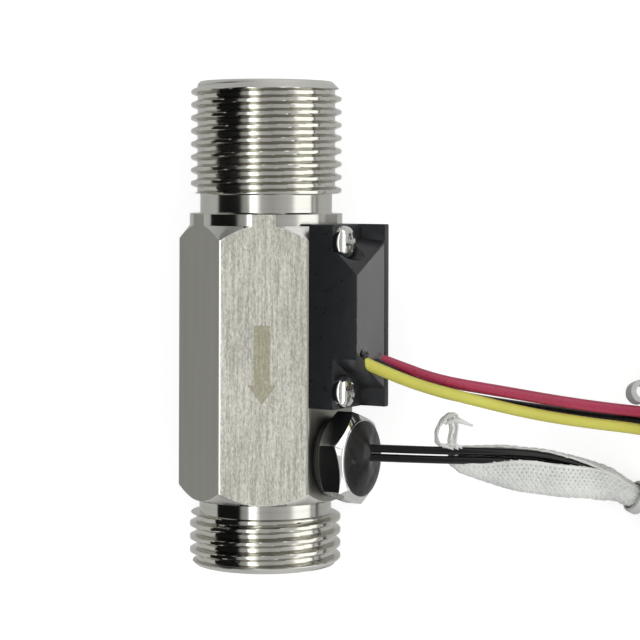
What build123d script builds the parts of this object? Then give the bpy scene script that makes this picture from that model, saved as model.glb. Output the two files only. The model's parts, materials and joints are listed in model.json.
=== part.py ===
from build123d import *
import math
import os

# Millimetres. The pipe axis runs along Y and the water flows towards -Y. The bottom flat
# of the hexagon lies at Z = 0, and the hexagon is centred on the origin.

# Pipe body, turned from hexagon bar
HEX_FLATS = 21.0
HEX_LENGTH = 34.0
COLLAR_RADIUS = 10.57
COLLAR_LENGTH = 1.65
INLET_CONE_LENGTH = 2.0
OUTLET_CONE_LENGTH = 1.7
OUTLET_SHOULDER_RADIUS = 10.45
THREAD_RADIUS = 10.4775
NECK_RADIUS = 9.16
INLET_NECK_LENGTH = 2.65
INLET_THREAD_LENGTH = 14.35
INLET_END_CHAMFER = 1.29
OUTLET_NECK_LENGTH = 2.1
OUTLET_THREAD_LENGTH = 6.3
OUTLET_END_CHAMFER = 0.8
MOUTH_CHAMFER = 0.5

# Stepped bore, its seats counted from the middle of the hexagon
OUTLET_BORE_RADIUS = 6.2
ROTOR_BORE_RADIUS = 7.1
GUIDE_BORE_RADIUS = 7.75
SUPPORT_SEAT = -1.0
INSERT_CLEARANCE = 0.05

# Turbine and its bearings
SUPPORT_LENGTH = 4.0
SUPPORT_SPOKES = 3
SPOKE_THICKNESS = 1.2
HUB_RADIUS = 2.6
TAIL_LENGTH = 4.5
NOSE_TIP_SHARE = 0.4
BUSH_RADIUS = 1.8
BUSH_LENGTH = 3.2
BUSH_FLANGE_RADIUS = 2.4
BUSH_FLANGE_THICKNESS = 0.5
SHAFT_RADIUS = 1.0
SHAFT_CLEARANCE = 0.04
SHAFT_END_GAP = 0.3
END_PLAY = 0.2
ROTOR_LENGTH = 7.6
ROTOR_BLADES = 5
BLADE_THICKNESS = 0.8
BLADE_TWIST = 55.0
BLADE_TIP_CLEARANCE = 0.3
BLADE_END_INSET = 0.3
MAGNET_RADIUS = 4.4
MAGNET_LENGTH = 2.4
MAGNET_FLANGE_THICKNESS = 0.6
GUIDE_LENGTH = 5.0
GUIDE_RING_WALL = 0.8
GUIDE_VANES = 4
VANE_THICKNESS = 0.9
VANE_TWIST = -28.0
VANE_END_INSET = 0.3
NOSE_LENGTH = 3.0
CIRCLIP_THICKNESS = 0.9
CIRCLIP_WIDTH = 1.3
CIRCLIP_LUG_RADIUS = 1.1
CIRCLIP_LUG_HOLE_RADIUS = 0.5
CIRCLIP_GAP_ANGLE = 40.0
GROOVE_DEPTH = 0.5
GROOVE_CLEARANCE = 0.1

# Sensor housing on the upper right face of the hexagon. Across is counted towards the
# side that lies lower, up is counted away from the face.
FACE_TILT = 60.0
HOUSING_LENGTH = 24.8
HOUSING_FROM_MAGNET = 2.0
HOUSING_NEAR = -6.05
HOUSING_FAR = 2.95
HOUSING_HEIGHT = 7.3
HOUSING_WALL = 0.9
HOUSING_FLOOR = 0.8
HOUSING_EDGE_RADIUS = 0.3
POCKET_FLOOR = 3.7
RIM_WALL = 1.1
UPPER_POCKET_NEAR = 6.6
UPPER_POCKET_FAR = 2.3
UPPER_FOOT_NEAR = 3.1
UPPER_FOOT_FAR = 1.9
LOWER_POCKET_NEAR = 6.9
LOWER_POCKET_FAR = 2.45
SCREW_FROM_END = 2.4
SCREW_SPACING = HOUSING_LENGTH - 2 * SCREW_FROM_END
SCREW_INSET = 2.05
SCREW_RADIUS = 1.25
SCREW_CLEARANCE = 0.15
SCREW_HEAD_RADIUS = 2.25
SCREW_HEAD_HEIGHT = 1.6
SCREW_DEPTH = 2.0
SCREW_TIP_GAP = 0.2
THREAD_FIT = 0.03
CHIP_LENGTH = 3.0
CHIP_WIDTH = 4.1
CHIP_THICKNESS = 1.5
BOARD_LENGTH = 8.6
BOARD_MARGIN = 0.3
BOARD_THICKNESS = 1.0

# Probe plug, screwed into the same face near the outlet end
PLUG_FROM_END = 4.5
PLUG_FLATS = 11.3
PLUG_TURN = -19.5
PLUG_THREAD_RADIUS = 4.0
PLUG_SHANK_LENGTH = 4.2
PLUG_HEAD_FOOT = 1.28
PLUG_CORNER_TOP = 4.1
PLUG_CONE_TOP = 4.75
PLUG_LIP_TOP = 5.0
PLUG_LIP_RADIUS = 5.3
PLUG_CUP_RADIUS = 4.8
PLUG_CUP_FLOOR = 1.9
SEAL_RADIUS = 5.4
RESIN_RADIUS = 5.15
RESIN_DOME = 0.35
RESIN_COLLAR_RADIUS = 1.5
RESIN_COLLAR_TOP = 6.1
PROBE_RADIUS = 2.0
PROBE_WALL = 0.4
PROBE_SOCKET = 2.7
PROBE_PAST_AXIS = 1.5
BEAD_RADIUS = 1.35
BEAD_LEG_RADIUS = 0.2
BEAD_LEG_SPACING = 1.1

# Leads. Each route is a list of chosen points, ending in its coil.
HALL_LEAD_DIAMETER = 1.6
HALL_LEAD_PITCH = 1.65
HALL_TURNS = 4.25
HALL_COIL_CENTRE = (70.0, 0.0)
HALL_COIL_RADIUS = 9.65
YELLOW_ROUTE = [
    (12.5, 1.3, 21.9),
    (18.9, -1.8, 20.9),
    (27.5, -4.4, 17.0),
    (37.0, -7.1, 13.0),
    (45.5, -8.75, 10.1),
    (50.5, -9.4, 9.0),
    (55.0, -10.15, 8.5),
    (62.5, -10.95, 8.2),
    (69.0, -11.15, 8.1),
]
BLACK_ROUTE = [
    (13.4, 1.6, 20.2),
    (18.4, -1.3, 19.3),
    (23.0, -3.4, 17.1),
    (29.0, -4.7, 14.3),
    (37.0, -6.0, 11.3),
    (45.0, -7.35, 8.9),
    (50.5, -8.1, 7.8),
    (55.0, -8.72, 7.7),
    (62.0, -9.3, 7.8),
    (67.5, -9.55, 7.95),
]
RED_ROUTE = [
    (13.0, 2.3, 18.5),
    (17.5, 0.65, 18.3),
    (23.5, -1.7, 17.4),
    (32.0, -3.5, 14.4),
    (41.0, -5.4, 11.4),
    (49.0, -6.65, 9.3),
    (55.0, -7.3, 8.55),
    (61.5, -7.75, 8.2),
    (66.5, -7.95, 8.05),
]
NTC_LEAD_DIAMETER = 1.1
NTC_LEAD_PITCH = 1.25
NTC_TURNS = 4.0
NTC_COIL_CENTRE = (63.5, -28.4)
NTC_COIL_RADIUS = 7.0
NTC_ROUTE = [
    (12.2, -11.6, 18.4),
    (21.0, -12.0, 17.9),
    (31.5, -12.6, 14.6),
    (37.4, -13.2, 11.6),
    (42.8, -14.7, 8.4),
    (47.1, -16.6, 5.9),
    (54.8, -20.6, 2.5),
    (58.5, -21.3, 1.7),
    (62.0, -21.55, 1.25),
]
SLEEVE_START = 0.57
SLEEVE_END = 0.86
SLEEVE_RADIUS = 2.0
SLEEVE_WALL = 0.5
ARC_SHARE = 0.45
COIL_EASE = 0.15

# Ties and plugs on the leads
TIE_THICKNESS = 0.5
TIE_ARC = 16.0
TIE_HEAD = (2.4, 3.4, 2.6)
SLEEVE_TIE_WIDTH = 2.5
SLEEVE_TIE_SHARE = 0.62
LEAD_TIE_PLACE = (55.0, -8.72, 8.2)
LEAD_TIE_HALF_WIDTH = 2.45
LEAD_TIE_HALF_HEIGHT = 1.5
LEAD_TIE_WIDTH = 2.4
TAIL_CURL_RADIUS = 1.1
PLUG_WAY_PITCH = 2.5
PLUG_SIDE = 2.4
PLUG_LENGTH = 9.8
PLUG_HEIGHT = 5.75
PLUG_RIB = 0.5
CAVITY = 1.75
CAVITY_HEIGHT = 2.9
CONTACT = 1.65
CONTACT_WALL = 0.3
CONTACT_LENGTH = 6.0
CONTACT_INSET = 0.8
HALL_PLUG_Y = 16.0
NTC_PLUG_X = 77.0
WIRE_ENTRY = 2.5
PIECE_GAP = 0.05

AXIS_HEIGHT = HEX_FLATS / 2
HEX_TOP = HEX_LENGTH / 2
HEX_BOTTOM = -HEX_LENGTH / 2
COLLAR_FOOT = HEX_TOP + INLET_CONE_LENGTH
COLLAR_END = COLLAR_FOOT + COLLAR_LENGTH
INLET_NECK_END = COLLAR_END + INLET_NECK_LENGTH
INLET_THREAD_END = INLET_NECK_END + INLET_THREAD_LENGTH
INLET_FACE = INLET_THREAD_END + INLET_END_CHAMFER
OUTLET_SHOULDER = HEX_BOTTOM - OUTLET_CONE_LENGTH
OUTLET_NECK_END = OUTLET_SHOULDER - OUTLET_NECK_LENGTH
OUTLET_THREAD_END = OUTLET_NECK_END - OUTLET_THREAD_LENGTH
OUTLET_FACE = OUTLET_THREAD_END - OUTLET_END_CHAMFER

SUPPORT_TOP = SUPPORT_SEAT + SUPPORT_LENGTH
ROTOR_BOTTOM = SUPPORT_TOP + BUSH_FLANGE_THICKNESS + END_PLAY
ROTOR_TOP = ROTOR_BOTTOM + ROTOR_LENGTH
MAGNET_TOP = ROTOR_BOTTOM + MAGNET_LENGTH
MAGNET_MIDDLE = ROTOR_BOTTOM + MAGNET_LENGTH / 2
BLADE_FOOT = MAGNET_TOP + MAGNET_FLANGE_THICKNESS
GUIDE_SEAT = ROTOR_TOP + END_PLAY + BUSH_FLANGE_THICKNESS
GUIDE_TOP = GUIDE_SEAT + GUIDE_LENGTH
GROOVE_FOOT = GUIDE_TOP + INSERT_CLEARANCE
GROOVE_END = GROOVE_FOOT + CIRCLIP_THICKNESS + GROOVE_CLEARANCE
GROOVE_RADIUS = GUIDE_BORE_RADIUS + GROOVE_DEPTH

HOUSING_MIDDLE = MAGNET_MIDDLE + HOUSING_FROM_MAGNET
HOUSING_TOP = HOUSING_MIDDLE + HOUSING_LENGTH / 2
HOUSING_BOTTOM = HOUSING_MIDDLE - HOUSING_LENGTH / 2
SCREW_ACROSS = HOUSING_NEAR + SCREW_INSET
RIM_INNER = HOUSING_FAR - RIM_WALL
BLOCK_MIDDLE = (HOUSING_NEAR + RIM_INNER) / 2
PLUG_Y = HEX_BOTTOM + PLUG_FROM_END
SPACE = 1.0
ON_TOP_END = (Align.CENTER, Align.CENTER, Align.MAX)
ON_FOOT = (Align.CENTER, Align.CENTER, Align.MIN)

SENSOR_FACE = Plane(
    origin=(
        AXIS_HEIGHT * math.sin(math.radians(FACE_TILT)),
        0,
        AXIS_HEIGHT + AXIS_HEIGHT * math.cos(math.radians(FACE_TILT)),
    ),
    x_dir=(math.cos(math.radians(FACE_TILT)), 0, -math.sin(math.radians(FACE_TILT))),
    z_dir=(math.sin(math.radians(FACE_TILT)), 0, math.cos(math.radians(FACE_TILT))),
)


def turned(points):
    """Solid turned about the pipe axis from (radius, Y) points."""
    outline = make_face(Polyline(*points, close=True))
    return Pos(0, 0, AXIS_HEIGHT) * revolve(outline, Axis.Y)


def turned_with_nose(radius, foot, shoulder, nose):
    """Hub about the pipe axis with a conical, round-tipped nose beyond its shoulder."""
    side = math.copysign(1, nose)
    tip = radius * NOSE_TIP_SHARE
    rise = abs(nose) - tip
    slope = math.atan2(rise, radius) + math.asin(tip / math.hypot(rise, radius))
    across = [tip * math.sin(slope), tip * math.sin(slope / 2), 0]
    up = [rise + tip * math.cos(slope), rise + tip * math.cos(slope / 2), rise + tip]
    points = [(x, shoulder + side * y) for x, y in zip(across, up)]
    sides = Polyline(points[2], (0, foot), (radius, foot), (radius, shoulder), points[0])
    outline = make_face(sides + ThreePointArc(*points))
    return Pos(0, 0, AXIS_HEIGHT) * revolve(outline, Axis.Y)


def around_pipe(piece, angle):
    """The piece turned about the pipe axis."""
    return Pos(0, 0, AXIS_HEIGHT) * Rot(0, angle, 0) * Pos(0, 0, -AXIS_HEIGHT) * piece


def blade_ring(count, inner, outer, thickness, foot, length, twist):
    """Twisted blades, each lofted through sections that turn about the pipe axis."""
    sections = []
    for share in (0, 0.25, 0.5, 0.75, 1):
        angle = math.radians(twist * share)
        plane = Plane(
            origin=(0, foot + length * share, AXIS_HEIGHT),
            x_dir=(math.cos(angle), 0, math.sin(angle)),
            z_dir=(0, 1, 0),
        )
        middle = (inner + outer + SPACE) / 2
        sections.append(plane * Pos(middle, 0) * Rectangle(outer + SPACE - inner, thickness))
    tips = turned([(0, foot), (outer, foot), (outer, foot + length), (0, foot + length)])
    blade = loft(sections) & tips
    return [around_pipe(blade, 360 * number / count) for number in range(count)]


def hex_body():
    """Hexagon bar turned down at both ends, with its bore, tapped holes and grooves."""
    corner = HEX_FLATS / math.sqrt(3)
    inlet_slope = INLET_CONE_LENGTH / (corner - COLLAR_RADIUS)
    outlet_slope = OUTLET_CONE_LENGTH / (corner - OUTLET_SHOULDER_RADIUS)
    envelope = turned([
        (0, OUTLET_FACE),
        (THREAD_RADIUS - OUTLET_END_CHAMFER, OUTLET_FACE),
        (THREAD_RADIUS, OUTLET_THREAD_END),
        (THREAD_RADIUS, OUTLET_NECK_END),
        (NECK_RADIUS, OUTLET_NECK_END),
        (NECK_RADIUS, OUTLET_SHOULDER),
        (OUTLET_SHOULDER_RADIUS, OUTLET_SHOULDER),
        (corner + SPACE, HEX_BOTTOM + outlet_slope * SPACE),
        (corner + SPACE, HEX_TOP - inlet_slope * SPACE),
        (COLLAR_RADIUS, COLLAR_FOOT),
        (COLLAR_RADIUS, COLLAR_END),
        (NECK_RADIUS, COLLAR_END),
        (NECK_RADIUS, INLET_NECK_END),
        (THREAD_RADIUS, INLET_NECK_END),
        (THREAD_RADIUS, INLET_THREAD_END),
        (THREAD_RADIUS - INLET_END_CHAMFER, INLET_FACE),
        (0, INLET_FACE),
    ])
    hexagon = RegularPolygon(HEX_FLATS / 2, 6, major_radius=False)
    bar = extrude(hexagon, INLET_FACE - OUTLET_FACE + 2 * SPACE)
    bar = Pos(0, OUTLET_FACE - SPACE, AXIS_HEIGHT) * Rot(-90, 0, 0) * bar
    bore = turned([
        (0, OUTLET_FACE - SPACE),
        (OUTLET_BORE_RADIUS + MOUTH_CHAMFER + SPACE, OUTLET_FACE - SPACE),
        (OUTLET_BORE_RADIUS, OUTLET_FACE + MOUTH_CHAMFER),
        (OUTLET_BORE_RADIUS, SUPPORT_SEAT),
        (ROTOR_BORE_RADIUS, SUPPORT_SEAT),
        (ROTOR_BORE_RADIUS, GUIDE_SEAT),
        (GUIDE_BORE_RADIUS, GUIDE_SEAT),
        (GUIDE_BORE_RADIUS, GROOVE_FOOT),
        (GROOVE_RADIUS, GROOVE_FOOT),
        (GROOVE_RADIUS, GROOVE_END),
        (GUIDE_BORE_RADIUS, GROOVE_END),
        (GUIDE_BORE_RADIUS, INLET_FACE - MOUTH_CHAMFER),
        (GUIDE_BORE_RADIUS + MOUTH_CHAMFER + SPACE, INLET_FACE + SPACE),
        (0, INLET_FACE + SPACE),
    ])
    body = (bar & envelope) - bore
    plug_hole = Cylinder(PLUG_THREAD_RADIUS + THREAD_FIT, AXIS_HEIGHT, align=ON_TOP_END)
    body -= SENSOR_FACE * Pos(0, PLUG_Y, SPACE) * plug_hole
    for screw_y in screw_places():
        hole = Cylinder(SCREW_RADIUS + THREAD_FIT, SCREW_DEPTH + SCREW_TIP_GAP + SPACE, align=ON_TOP_END)
        body -= SENSOR_FACE * Pos(SCREW_ACROSS, screw_y, SPACE) * hole
    return body


def screw_places():
    """Y of the two housing screws."""
    return [HOUSING_MIDDLE - SCREW_SPACING / 2, HOUSING_MIDDLE + SCREW_SPACING / 2]


def rear_support():
    """Outlet support: a ring on the lower seat, a hub with a tail, and three spokes."""
    outer = ROTOR_BORE_RADIUS - INSERT_CLEARANCE
    ring = turned([
        (OUTLET_BORE_RADIUS, SUPPORT_SEAT),
        (outer, SUPPORT_SEAT),
        (outer, SUPPORT_TOP),
        (OUTLET_BORE_RADIUS, SUPPORT_TOP),
    ])
    hub = turned_with_nose(HUB_RADIUS, SUPPORT_TOP, SUPPORT_SEAT, -TAIL_LENGTH)
    middle = (OUTLET_BORE_RADIUS + outer) / 2
    root = (BUSH_RADIUS + HUB_RADIUS) / 2
    spokes = blade_ring(SUPPORT_SPOKES, root, middle, SPOKE_THICKNESS, SUPPORT_SEAT, SUPPORT_LENGTH, 0)
    socket = turned([
        (0, SUPPORT_TOP - BUSH_LENGTH),
        (BUSH_RADIUS, SUPPORT_TOP - BUSH_LENGTH),
        (BUSH_RADIUS, SUPPORT_TOP),
        (0, SUPPORT_TOP),
    ])
    return hub + ring + spokes - socket


def bush(hub_face, towards_rotor):
    """Flanged bush in a hub. Its flange lies on the hub's face, towards the rotor."""
    bore = SHAFT_RADIUS + SHAFT_CLEARANCE
    inner_end = hub_face - towards_rotor * BUSH_LENGTH
    flange_end = hub_face + towards_rotor * BUSH_FLANGE_THICKNESS
    return turned([
        (bore, inner_end),
        (BUSH_RADIUS, inner_end),
        (BUSH_RADIUS, hub_face),
        (BUSH_FLANGE_RADIUS, hub_face),
        (BUSH_FLANGE_RADIUS, flange_end),
        (bore, flange_end),
    ])


def rotor():
    """Turbine: a hub with a seat for the ring magnet and twisted blades above it."""
    hub = turned([
        (SHAFT_RADIUS, ROTOR_BOTTOM),
        (HUB_RADIUS, ROTOR_BOTTOM),
        (HUB_RADIUS, MAGNET_TOP),
        (MAGNET_RADIUS, MAGNET_TOP),
        (MAGNET_RADIUS, BLADE_FOOT),
        (HUB_RADIUS, BLADE_FOOT),
        (HUB_RADIUS, ROTOR_TOP),
        (SHAFT_RADIUS, ROTOR_TOP),
    ])
    tip = ROTOR_BORE_RADIUS - BLADE_TIP_CLEARANCE
    length = ROTOR_TOP - BLADE_END_INSET - BLADE_FOOT
    root = (SHAFT_RADIUS + HUB_RADIUS) / 2
    return hub + blade_ring(ROTOR_BLADES, root, tip, BLADE_THICKNESS, BLADE_FOOT, length, BLADE_TWIST)


def rotor_magnet():
    """Multipole ring magnet on the hub, against the flange under the blades."""
    return turned([
        (HUB_RADIUS, ROTOR_BOTTOM),
        (MAGNET_RADIUS, ROTOR_BOTTOM),
        (MAGNET_RADIUS, MAGNET_TOP),
        (HUB_RADIUS, MAGNET_TOP),
    ])


def rotor_shaft():
    """Shaft through the rotor, which ends short of the bottom of each bush."""
    reach = BUSH_LENGTH - SHAFT_END_GAP
    return turned([
        (0, SUPPORT_TOP - reach),
        (SHAFT_RADIUS, SUPPORT_TOP - reach),
        (SHAFT_RADIUS, GUIDE_SEAT + reach),
        (0, GUIDE_SEAT + reach),
    ])


def flow_guide():
    """Inlet guide: a ring on the upper seat, a nosed hub, and vanes that swirl the water."""
    outer = GUIDE_BORE_RADIUS - INSERT_CLEARANCE
    inner = outer - GUIDE_RING_WALL
    ring = turned([(inner, GUIDE_SEAT), (outer, GUIDE_SEAT), (outer, GUIDE_TOP), (inner, GUIDE_TOP)])
    hub = turned_with_nose(HUB_RADIUS, GUIDE_SEAT, GUIDE_TOP, NOSE_LENGTH)
    foot = GUIDE_SEAT + VANE_END_INSET
    length = GUIDE_LENGTH - 2 * VANE_END_INSET
    middle = (inner + outer) / 2
    root = (BUSH_RADIUS + HUB_RADIUS) / 2
    vanes = blade_ring(GUIDE_VANES, root, middle, VANE_THICKNESS, foot, length, VANE_TWIST)
    socket = turned([
        (0, GUIDE_SEAT),
        (BUSH_RADIUS, GUIDE_SEAT),
        (BUSH_RADIUS, GUIDE_SEAT + BUSH_LENGTH),
        (0, GUIDE_SEAT + BUSH_LENGTH),
    ])
    return hub + ring + vanes - socket


def guide_circlip():
    """Internal retaining ring in its groove, open at the top, with two drilled lugs."""
    outer = GROOVE_RADIUS - GROOVE_CLEARANCE
    inner = GUIDE_BORE_RADIUS - CIRCLIP_WIDTH
    ring = Circle(outer) - Circle(inner)
    half_gap = math.radians(CIRCLIP_GAP_ANGLE / 2)
    far = 2 * outer
    wedge = make_face(Polyline(
        (0, 0),
        (-far * math.sin(half_gap), -far * math.cos(half_gap)),
        (far * math.sin(half_gap), -far * math.cos(half_gap)),
        close=True,
    ))
    plan = ring - wedge
    for side in (-1, 1):
        turn = half_gap + CIRCLIP_LUG_RADIUS / inner
        place = Pos(side * inner * math.sin(turn), -inner * math.cos(turn))
        plan += place * Circle(CIRCLIP_LUG_RADIUS)
    for side in (-1, 1):
        turn = half_gap + CIRCLIP_LUG_RADIUS / inner
        place = Pos(side * inner * math.sin(turn), -inner * math.cos(turn))
        plan -= place * Circle(CIRCLIP_LUG_HOLE_RADIUS)
    flat_ring = extrude(plan, CIRCLIP_THICKNESS)
    return Pos(0, GROOVE_FOOT, AXIS_HEIGHT) * Rot(-90, 0, 0) * flat_ring


def block_outline():
    """Outer face of the housing's raised block, between the two screw pockets."""
    return [
        (HOUSING_NEAR, HOUSING_BOTTOM + LOWER_POCKET_NEAR),
        (HOUSING_NEAR, HOUSING_TOP - UPPER_POCKET_NEAR),
        (RIM_INNER, HOUSING_TOP - UPPER_POCKET_FAR),
        (RIM_INNER, HOUSING_BOTTOM + LOWER_POCKET_FAR),
    ]


def potting_space():
    """Cavity of the housing, open at its outer face."""
    outline = offset(make_face(Polyline(*block_outline(), close=True)), -HOUSING_WALL, kind=Kind.INTERSECTION)
    return SENSOR_FACE * Pos(0, 0, HOUSING_FLOOR) * extrude(outline, HOUSING_HEIGHT - HOUSING_FLOOR)


def hall_housing():
    """Moulded housing: a raised block, a screw pocket at each end, and a full rim behind."""
    width = HOUSING_FAR - HOUSING_NEAR
    middle = (HOUSING_FAR + HOUSING_NEAR) / 2
    block = Pos(middle, HOUSING_MIDDLE, 0) * Box(width, HOUSING_LENGTH, HOUSING_HEIGHT, align=ON_FOOT)
    corners = block.edges().filter_by(Axis.Z)
    block = fillet(corners, HOUSING_EDGE_RADIUS)
    outside = HOUSING_NEAR - SPACE
    near_share = SPACE / (RIM_INNER - HOUSING_NEAR)
    ridge = block_outline()
    upper_slope = (ridge[2][1] - ridge[1][1]) * near_share
    lower_slope = (ridge[3][1] - ridge[0][1]) * near_share
    foot_near = HOUSING_TOP - UPPER_FOOT_NEAR
    foot_far = HOUSING_TOP - UPPER_FOOT_FAR
    beyond = HOUSING_TOP + SPACE
    floor_plan = make_face(Polyline(
        (outside, foot_near - (foot_far - foot_near) * near_share),
        (RIM_INNER, foot_far),
        (RIM_INNER, beyond),
        (outside, beyond),
        close=True,
    ))
    ridge_plan = make_face(Polyline(
        (outside, ridge[1][1] - upper_slope),
        (RIM_INNER, ridge[2][1]),
        (RIM_INNER, beyond),
        (outside, beyond),
        close=True,
    ))
    upper_pocket = loft([Pos(0, 0, POCKET_FLOOR) * floor_plan, Pos(0, 0, HOUSING_HEIGHT) * ridge_plan])
    lower_plan = make_face(Polyline(
        (outside, ridge[0][1] - lower_slope),
        (RIM_INNER, ridge[3][1]),
        (RIM_INNER, HOUSING_BOTTOM - SPACE),
        (outside, HOUSING_BOTTOM - SPACE),
        close=True,
    ))
    lower_pocket = Pos(0, 0, POCKET_FLOOR) * extrude(lower_plan, HOUSING_HEIGHT)
    housing = block - upper_pocket - lower_pocket
    for screw_y in screw_places():
        hole = Cylinder(SCREW_RADIUS + SCREW_CLEARANCE, POCKET_FLOOR + SPACE, align=ON_FOOT)
        housing -= Pos(SCREW_ACROSS, screw_y, -SPACE / 2) * hole
        seat = Cylinder(SCREW_HEAD_RADIUS + SCREW_CLEARANCE, HOUSING_HEIGHT, align=ON_FOOT)
        housing -= Pos(SCREW_ACROSS, screw_y, POCKET_FLOOR) * seat
    return SENSOR_FACE * housing - potting_space()


def housing_screws():
    """Two pan-head screws, down through the pocket floors into the body."""
    screws = []
    for screw_y in screw_places():
        shank = Cylinder(SCREW_RADIUS, SCREW_DEPTH + POCKET_FLOOR, align=ON_TOP_END)
        head = Cylinder(SCREW_HEAD_RADIUS, SCREW_HEAD_HEIGHT, align=ON_FOOT)
        rim = head.edges().sort_by(Axis.Z)[-1]
        screw = fillet(rim, SCREW_HEAD_HEIGHT / 2) + shank
        screws.append(SENSOR_FACE * Pos(SCREW_ACROSS, screw_y, POCKET_FLOOR) * screw)
    return screws


def hall_chip():
    """Hall chip flat on the housing's floor, above the ring magnet."""
    chip = Box(CHIP_WIDTH, CHIP_LENGTH, CHIP_THICKNESS, align=ON_FOOT)
    return SENSOR_FACE * Pos(BLOCK_MIDDLE, MAGNET_MIDDLE, HOUSING_FLOOR) * chip


def hall_board():
    """Circuit board that lies on the chip."""
    width = RIM_INNER - HOUSING_NEAR - 2 * HOUSING_WALL - 2 * BOARD_MARGIN
    board = Box(width, BOARD_LENGTH, BOARD_THICKNESS, align=ON_FOOT)
    height = HOUSING_FLOOR + CHIP_THICKNESS
    return SENSOR_FACE * Pos(BLOCK_MIDDLE, HOUSING_MIDDLE, height) * board


def on_plug(points):
    """Solid turned about the probe plug's axis from (radius, height over the face) points."""
    outline = Plane.XZ * make_face(Polyline(*points, close=True))
    return SENSOR_FACE * Pos(0, PLUG_Y, 0) * revolve(outline, Axis.Z)


def probe_plug():
    """Hexagon-headed plug with a cup in its head and a socket for the probe tube."""
    corner = PLUG_FLATS / math.sqrt(3)
    slope = (PLUG_CONE_TOP - PLUG_CORNER_TOP) / (corner - PLUG_LIP_RADIUS)
    prism = extrude(RegularPolygon(PLUG_FLATS / 2, 6, major_radius=False), PLUG_LIP_TOP)
    prism = SENSOR_FACE * Pos(0, PLUG_Y, 0) * Rot(0, 0, PLUG_TURN) * prism
    envelope = on_plug([
        (0, PLUG_HEAD_FOOT),
        (PLUG_FLATS / 2, PLUG_HEAD_FOOT),
        (corner + SPACE, PLUG_HEAD_FOOT + slope * (corner + SPACE - PLUG_FLATS / 2)),
        (corner + SPACE, PLUG_CORNER_TOP - slope * SPACE),
        (PLUG_LIP_RADIUS, PLUG_CONE_TOP),
        (PLUG_LIP_RADIUS, PLUG_LIP_TOP),
        (0, PLUG_LIP_TOP),
    ])
    shank = on_plug([
        (0, -PLUG_SHANK_LENGTH),
        (PLUG_THREAD_RADIUS, -PLUG_SHANK_LENGTH),
        (PLUG_THREAD_RADIUS, PLUG_HEAD_FOOT),
        (0, PLUG_HEAD_FOOT),
    ])
    inside = PROBE_RADIUS - PROBE_WALL
    bore = on_plug([
        (0, -PLUG_SHANK_LENGTH),
        (PROBE_RADIUS, -PLUG_SHANK_LENGTH),
        (PROBE_RADIUS, -PLUG_SHANK_LENGTH + PROBE_SOCKET),
        (inside, -PLUG_SHANK_LENGTH + PROBE_SOCKET),
        (inside, PLUG_CUP_FLOOR),
        (PLUG_CUP_RADIUS, PLUG_CUP_FLOOR),
        (PLUG_CUP_RADIUS, PLUG_LIP_TOP),
        (0, PLUG_LIP_TOP),
    ])
    return (prism & envelope) + shank - bore


def plug_seal():
    """Ring seal pressed between the plug's head and the face."""
    return on_plug([
        (PLUG_THREAD_RADIUS + PIECE_GAP, 0),
        (SEAL_RADIUS - PLUG_HEAD_FOOT / 3, 0),
        (SEAL_RADIUS, PLUG_HEAD_FOOT / 3),
        (SEAL_RADIUS, PLUG_HEAD_FOOT * 2 / 3),
        (SEAL_RADIUS - PLUG_HEAD_FOOT / 3, PLUG_HEAD_FOOT),
        (PLUG_THREAD_RADIUS + PIECE_GAP, PLUG_HEAD_FOOT),
    ])


def probe_tube():
    """Closed tube across the water way, pushed up into the plug."""
    top = -PLUG_SHANK_LENGTH + PROBE_SOCKET
    tip = -AXIS_HEIGHT - PROBE_PAST_AXIS
    tube_length = top - tip - PROBE_RADIUS
    inside = PROBE_RADIUS - PROBE_WALL
    outer = Cylinder(PROBE_RADIUS, tube_length, align=ON_TOP_END) + Pos(0, 0, -tube_length) * Sphere(PROBE_RADIUS)
    inner = Cylinder(inside, tube_length, align=ON_TOP_END) + Pos(0, 0, -tube_length) * Sphere(inside)
    return SENSOR_FACE * Pos(0, PLUG_Y, top) * (outer - inner)


def thermistor():
    """Glass bead in the probe's tip, on two legs that hang from the resin."""
    bead_height = -AXIS_HEIGHT - PROBE_PAST_AXIS + PROBE_RADIUS
    bead = Pos(0, 0, bead_height) * Sphere(BEAD_RADIUS)
    for side in (-1, 1):
        leg = Cylinder(BEAD_LEG_RADIUS, PLUG_CUP_FLOOR - bead_height, align=ON_FOOT)
        bead += Pos(0, side * BEAD_LEG_SPACING / 2, bead_height) * leg
    return SENSOR_FACE * Pos(0, PLUG_Y, 0) * bead


def plug_resin():
    """Resin that fills the head's cup, domed over the lip and drawn up round the leads."""
    return on_plug([
        (0, PLUG_CUP_FLOOR),
        (PLUG_CUP_RADIUS, PLUG_CUP_FLOOR),
        (PLUG_CUP_RADIUS, PLUG_LIP_TOP),
        (RESIN_RADIUS, PLUG_LIP_TOP),
        (RESIN_COLLAR_RADIUS + SPACE, PLUG_LIP_TOP + RESIN_DOME),
        (RESIN_COLLAR_RADIUS, RESIN_COLLAR_TOP),
        (0, RESIN_COLLAR_TOP),
    ])


def corner_radii(points):
    """The radius of each corner's arc, as large as its two runs allow."""
    radii = []
    for before, here, after in zip(points, points[1:], points[2:]):
        run_in = Vector(*here) - Vector(*before)
        run_out = Vector(*after) - Vector(*here)
        half_turn = math.radians(run_in.get_angle(run_out)) / 2
        radii.append(ARC_SHARE * min(run_in.length, run_out.length) / math.tan(half_turn))
    return radii


def tube(name, points, radius):
    """Round tube along straight runs joined by tangent arcs."""
    radii = corner_radii(points)
    path = FilletPolyline(*points, radius=radii)
    section = Plane(origin=points[0], z_dir=Vector(*points[1]) - Vector(*points[0])) * Circle(radius)
    solid = sweep(section, path=path)
    share = solid.volume / (math.pi * radius**2 * path.length)
    rounded = [round(value, 1) for value in radii]
    print(f"{name}: length {path.length:.1f}, volume share {share:.4f}, radii {rounded}")
    return solid


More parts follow.
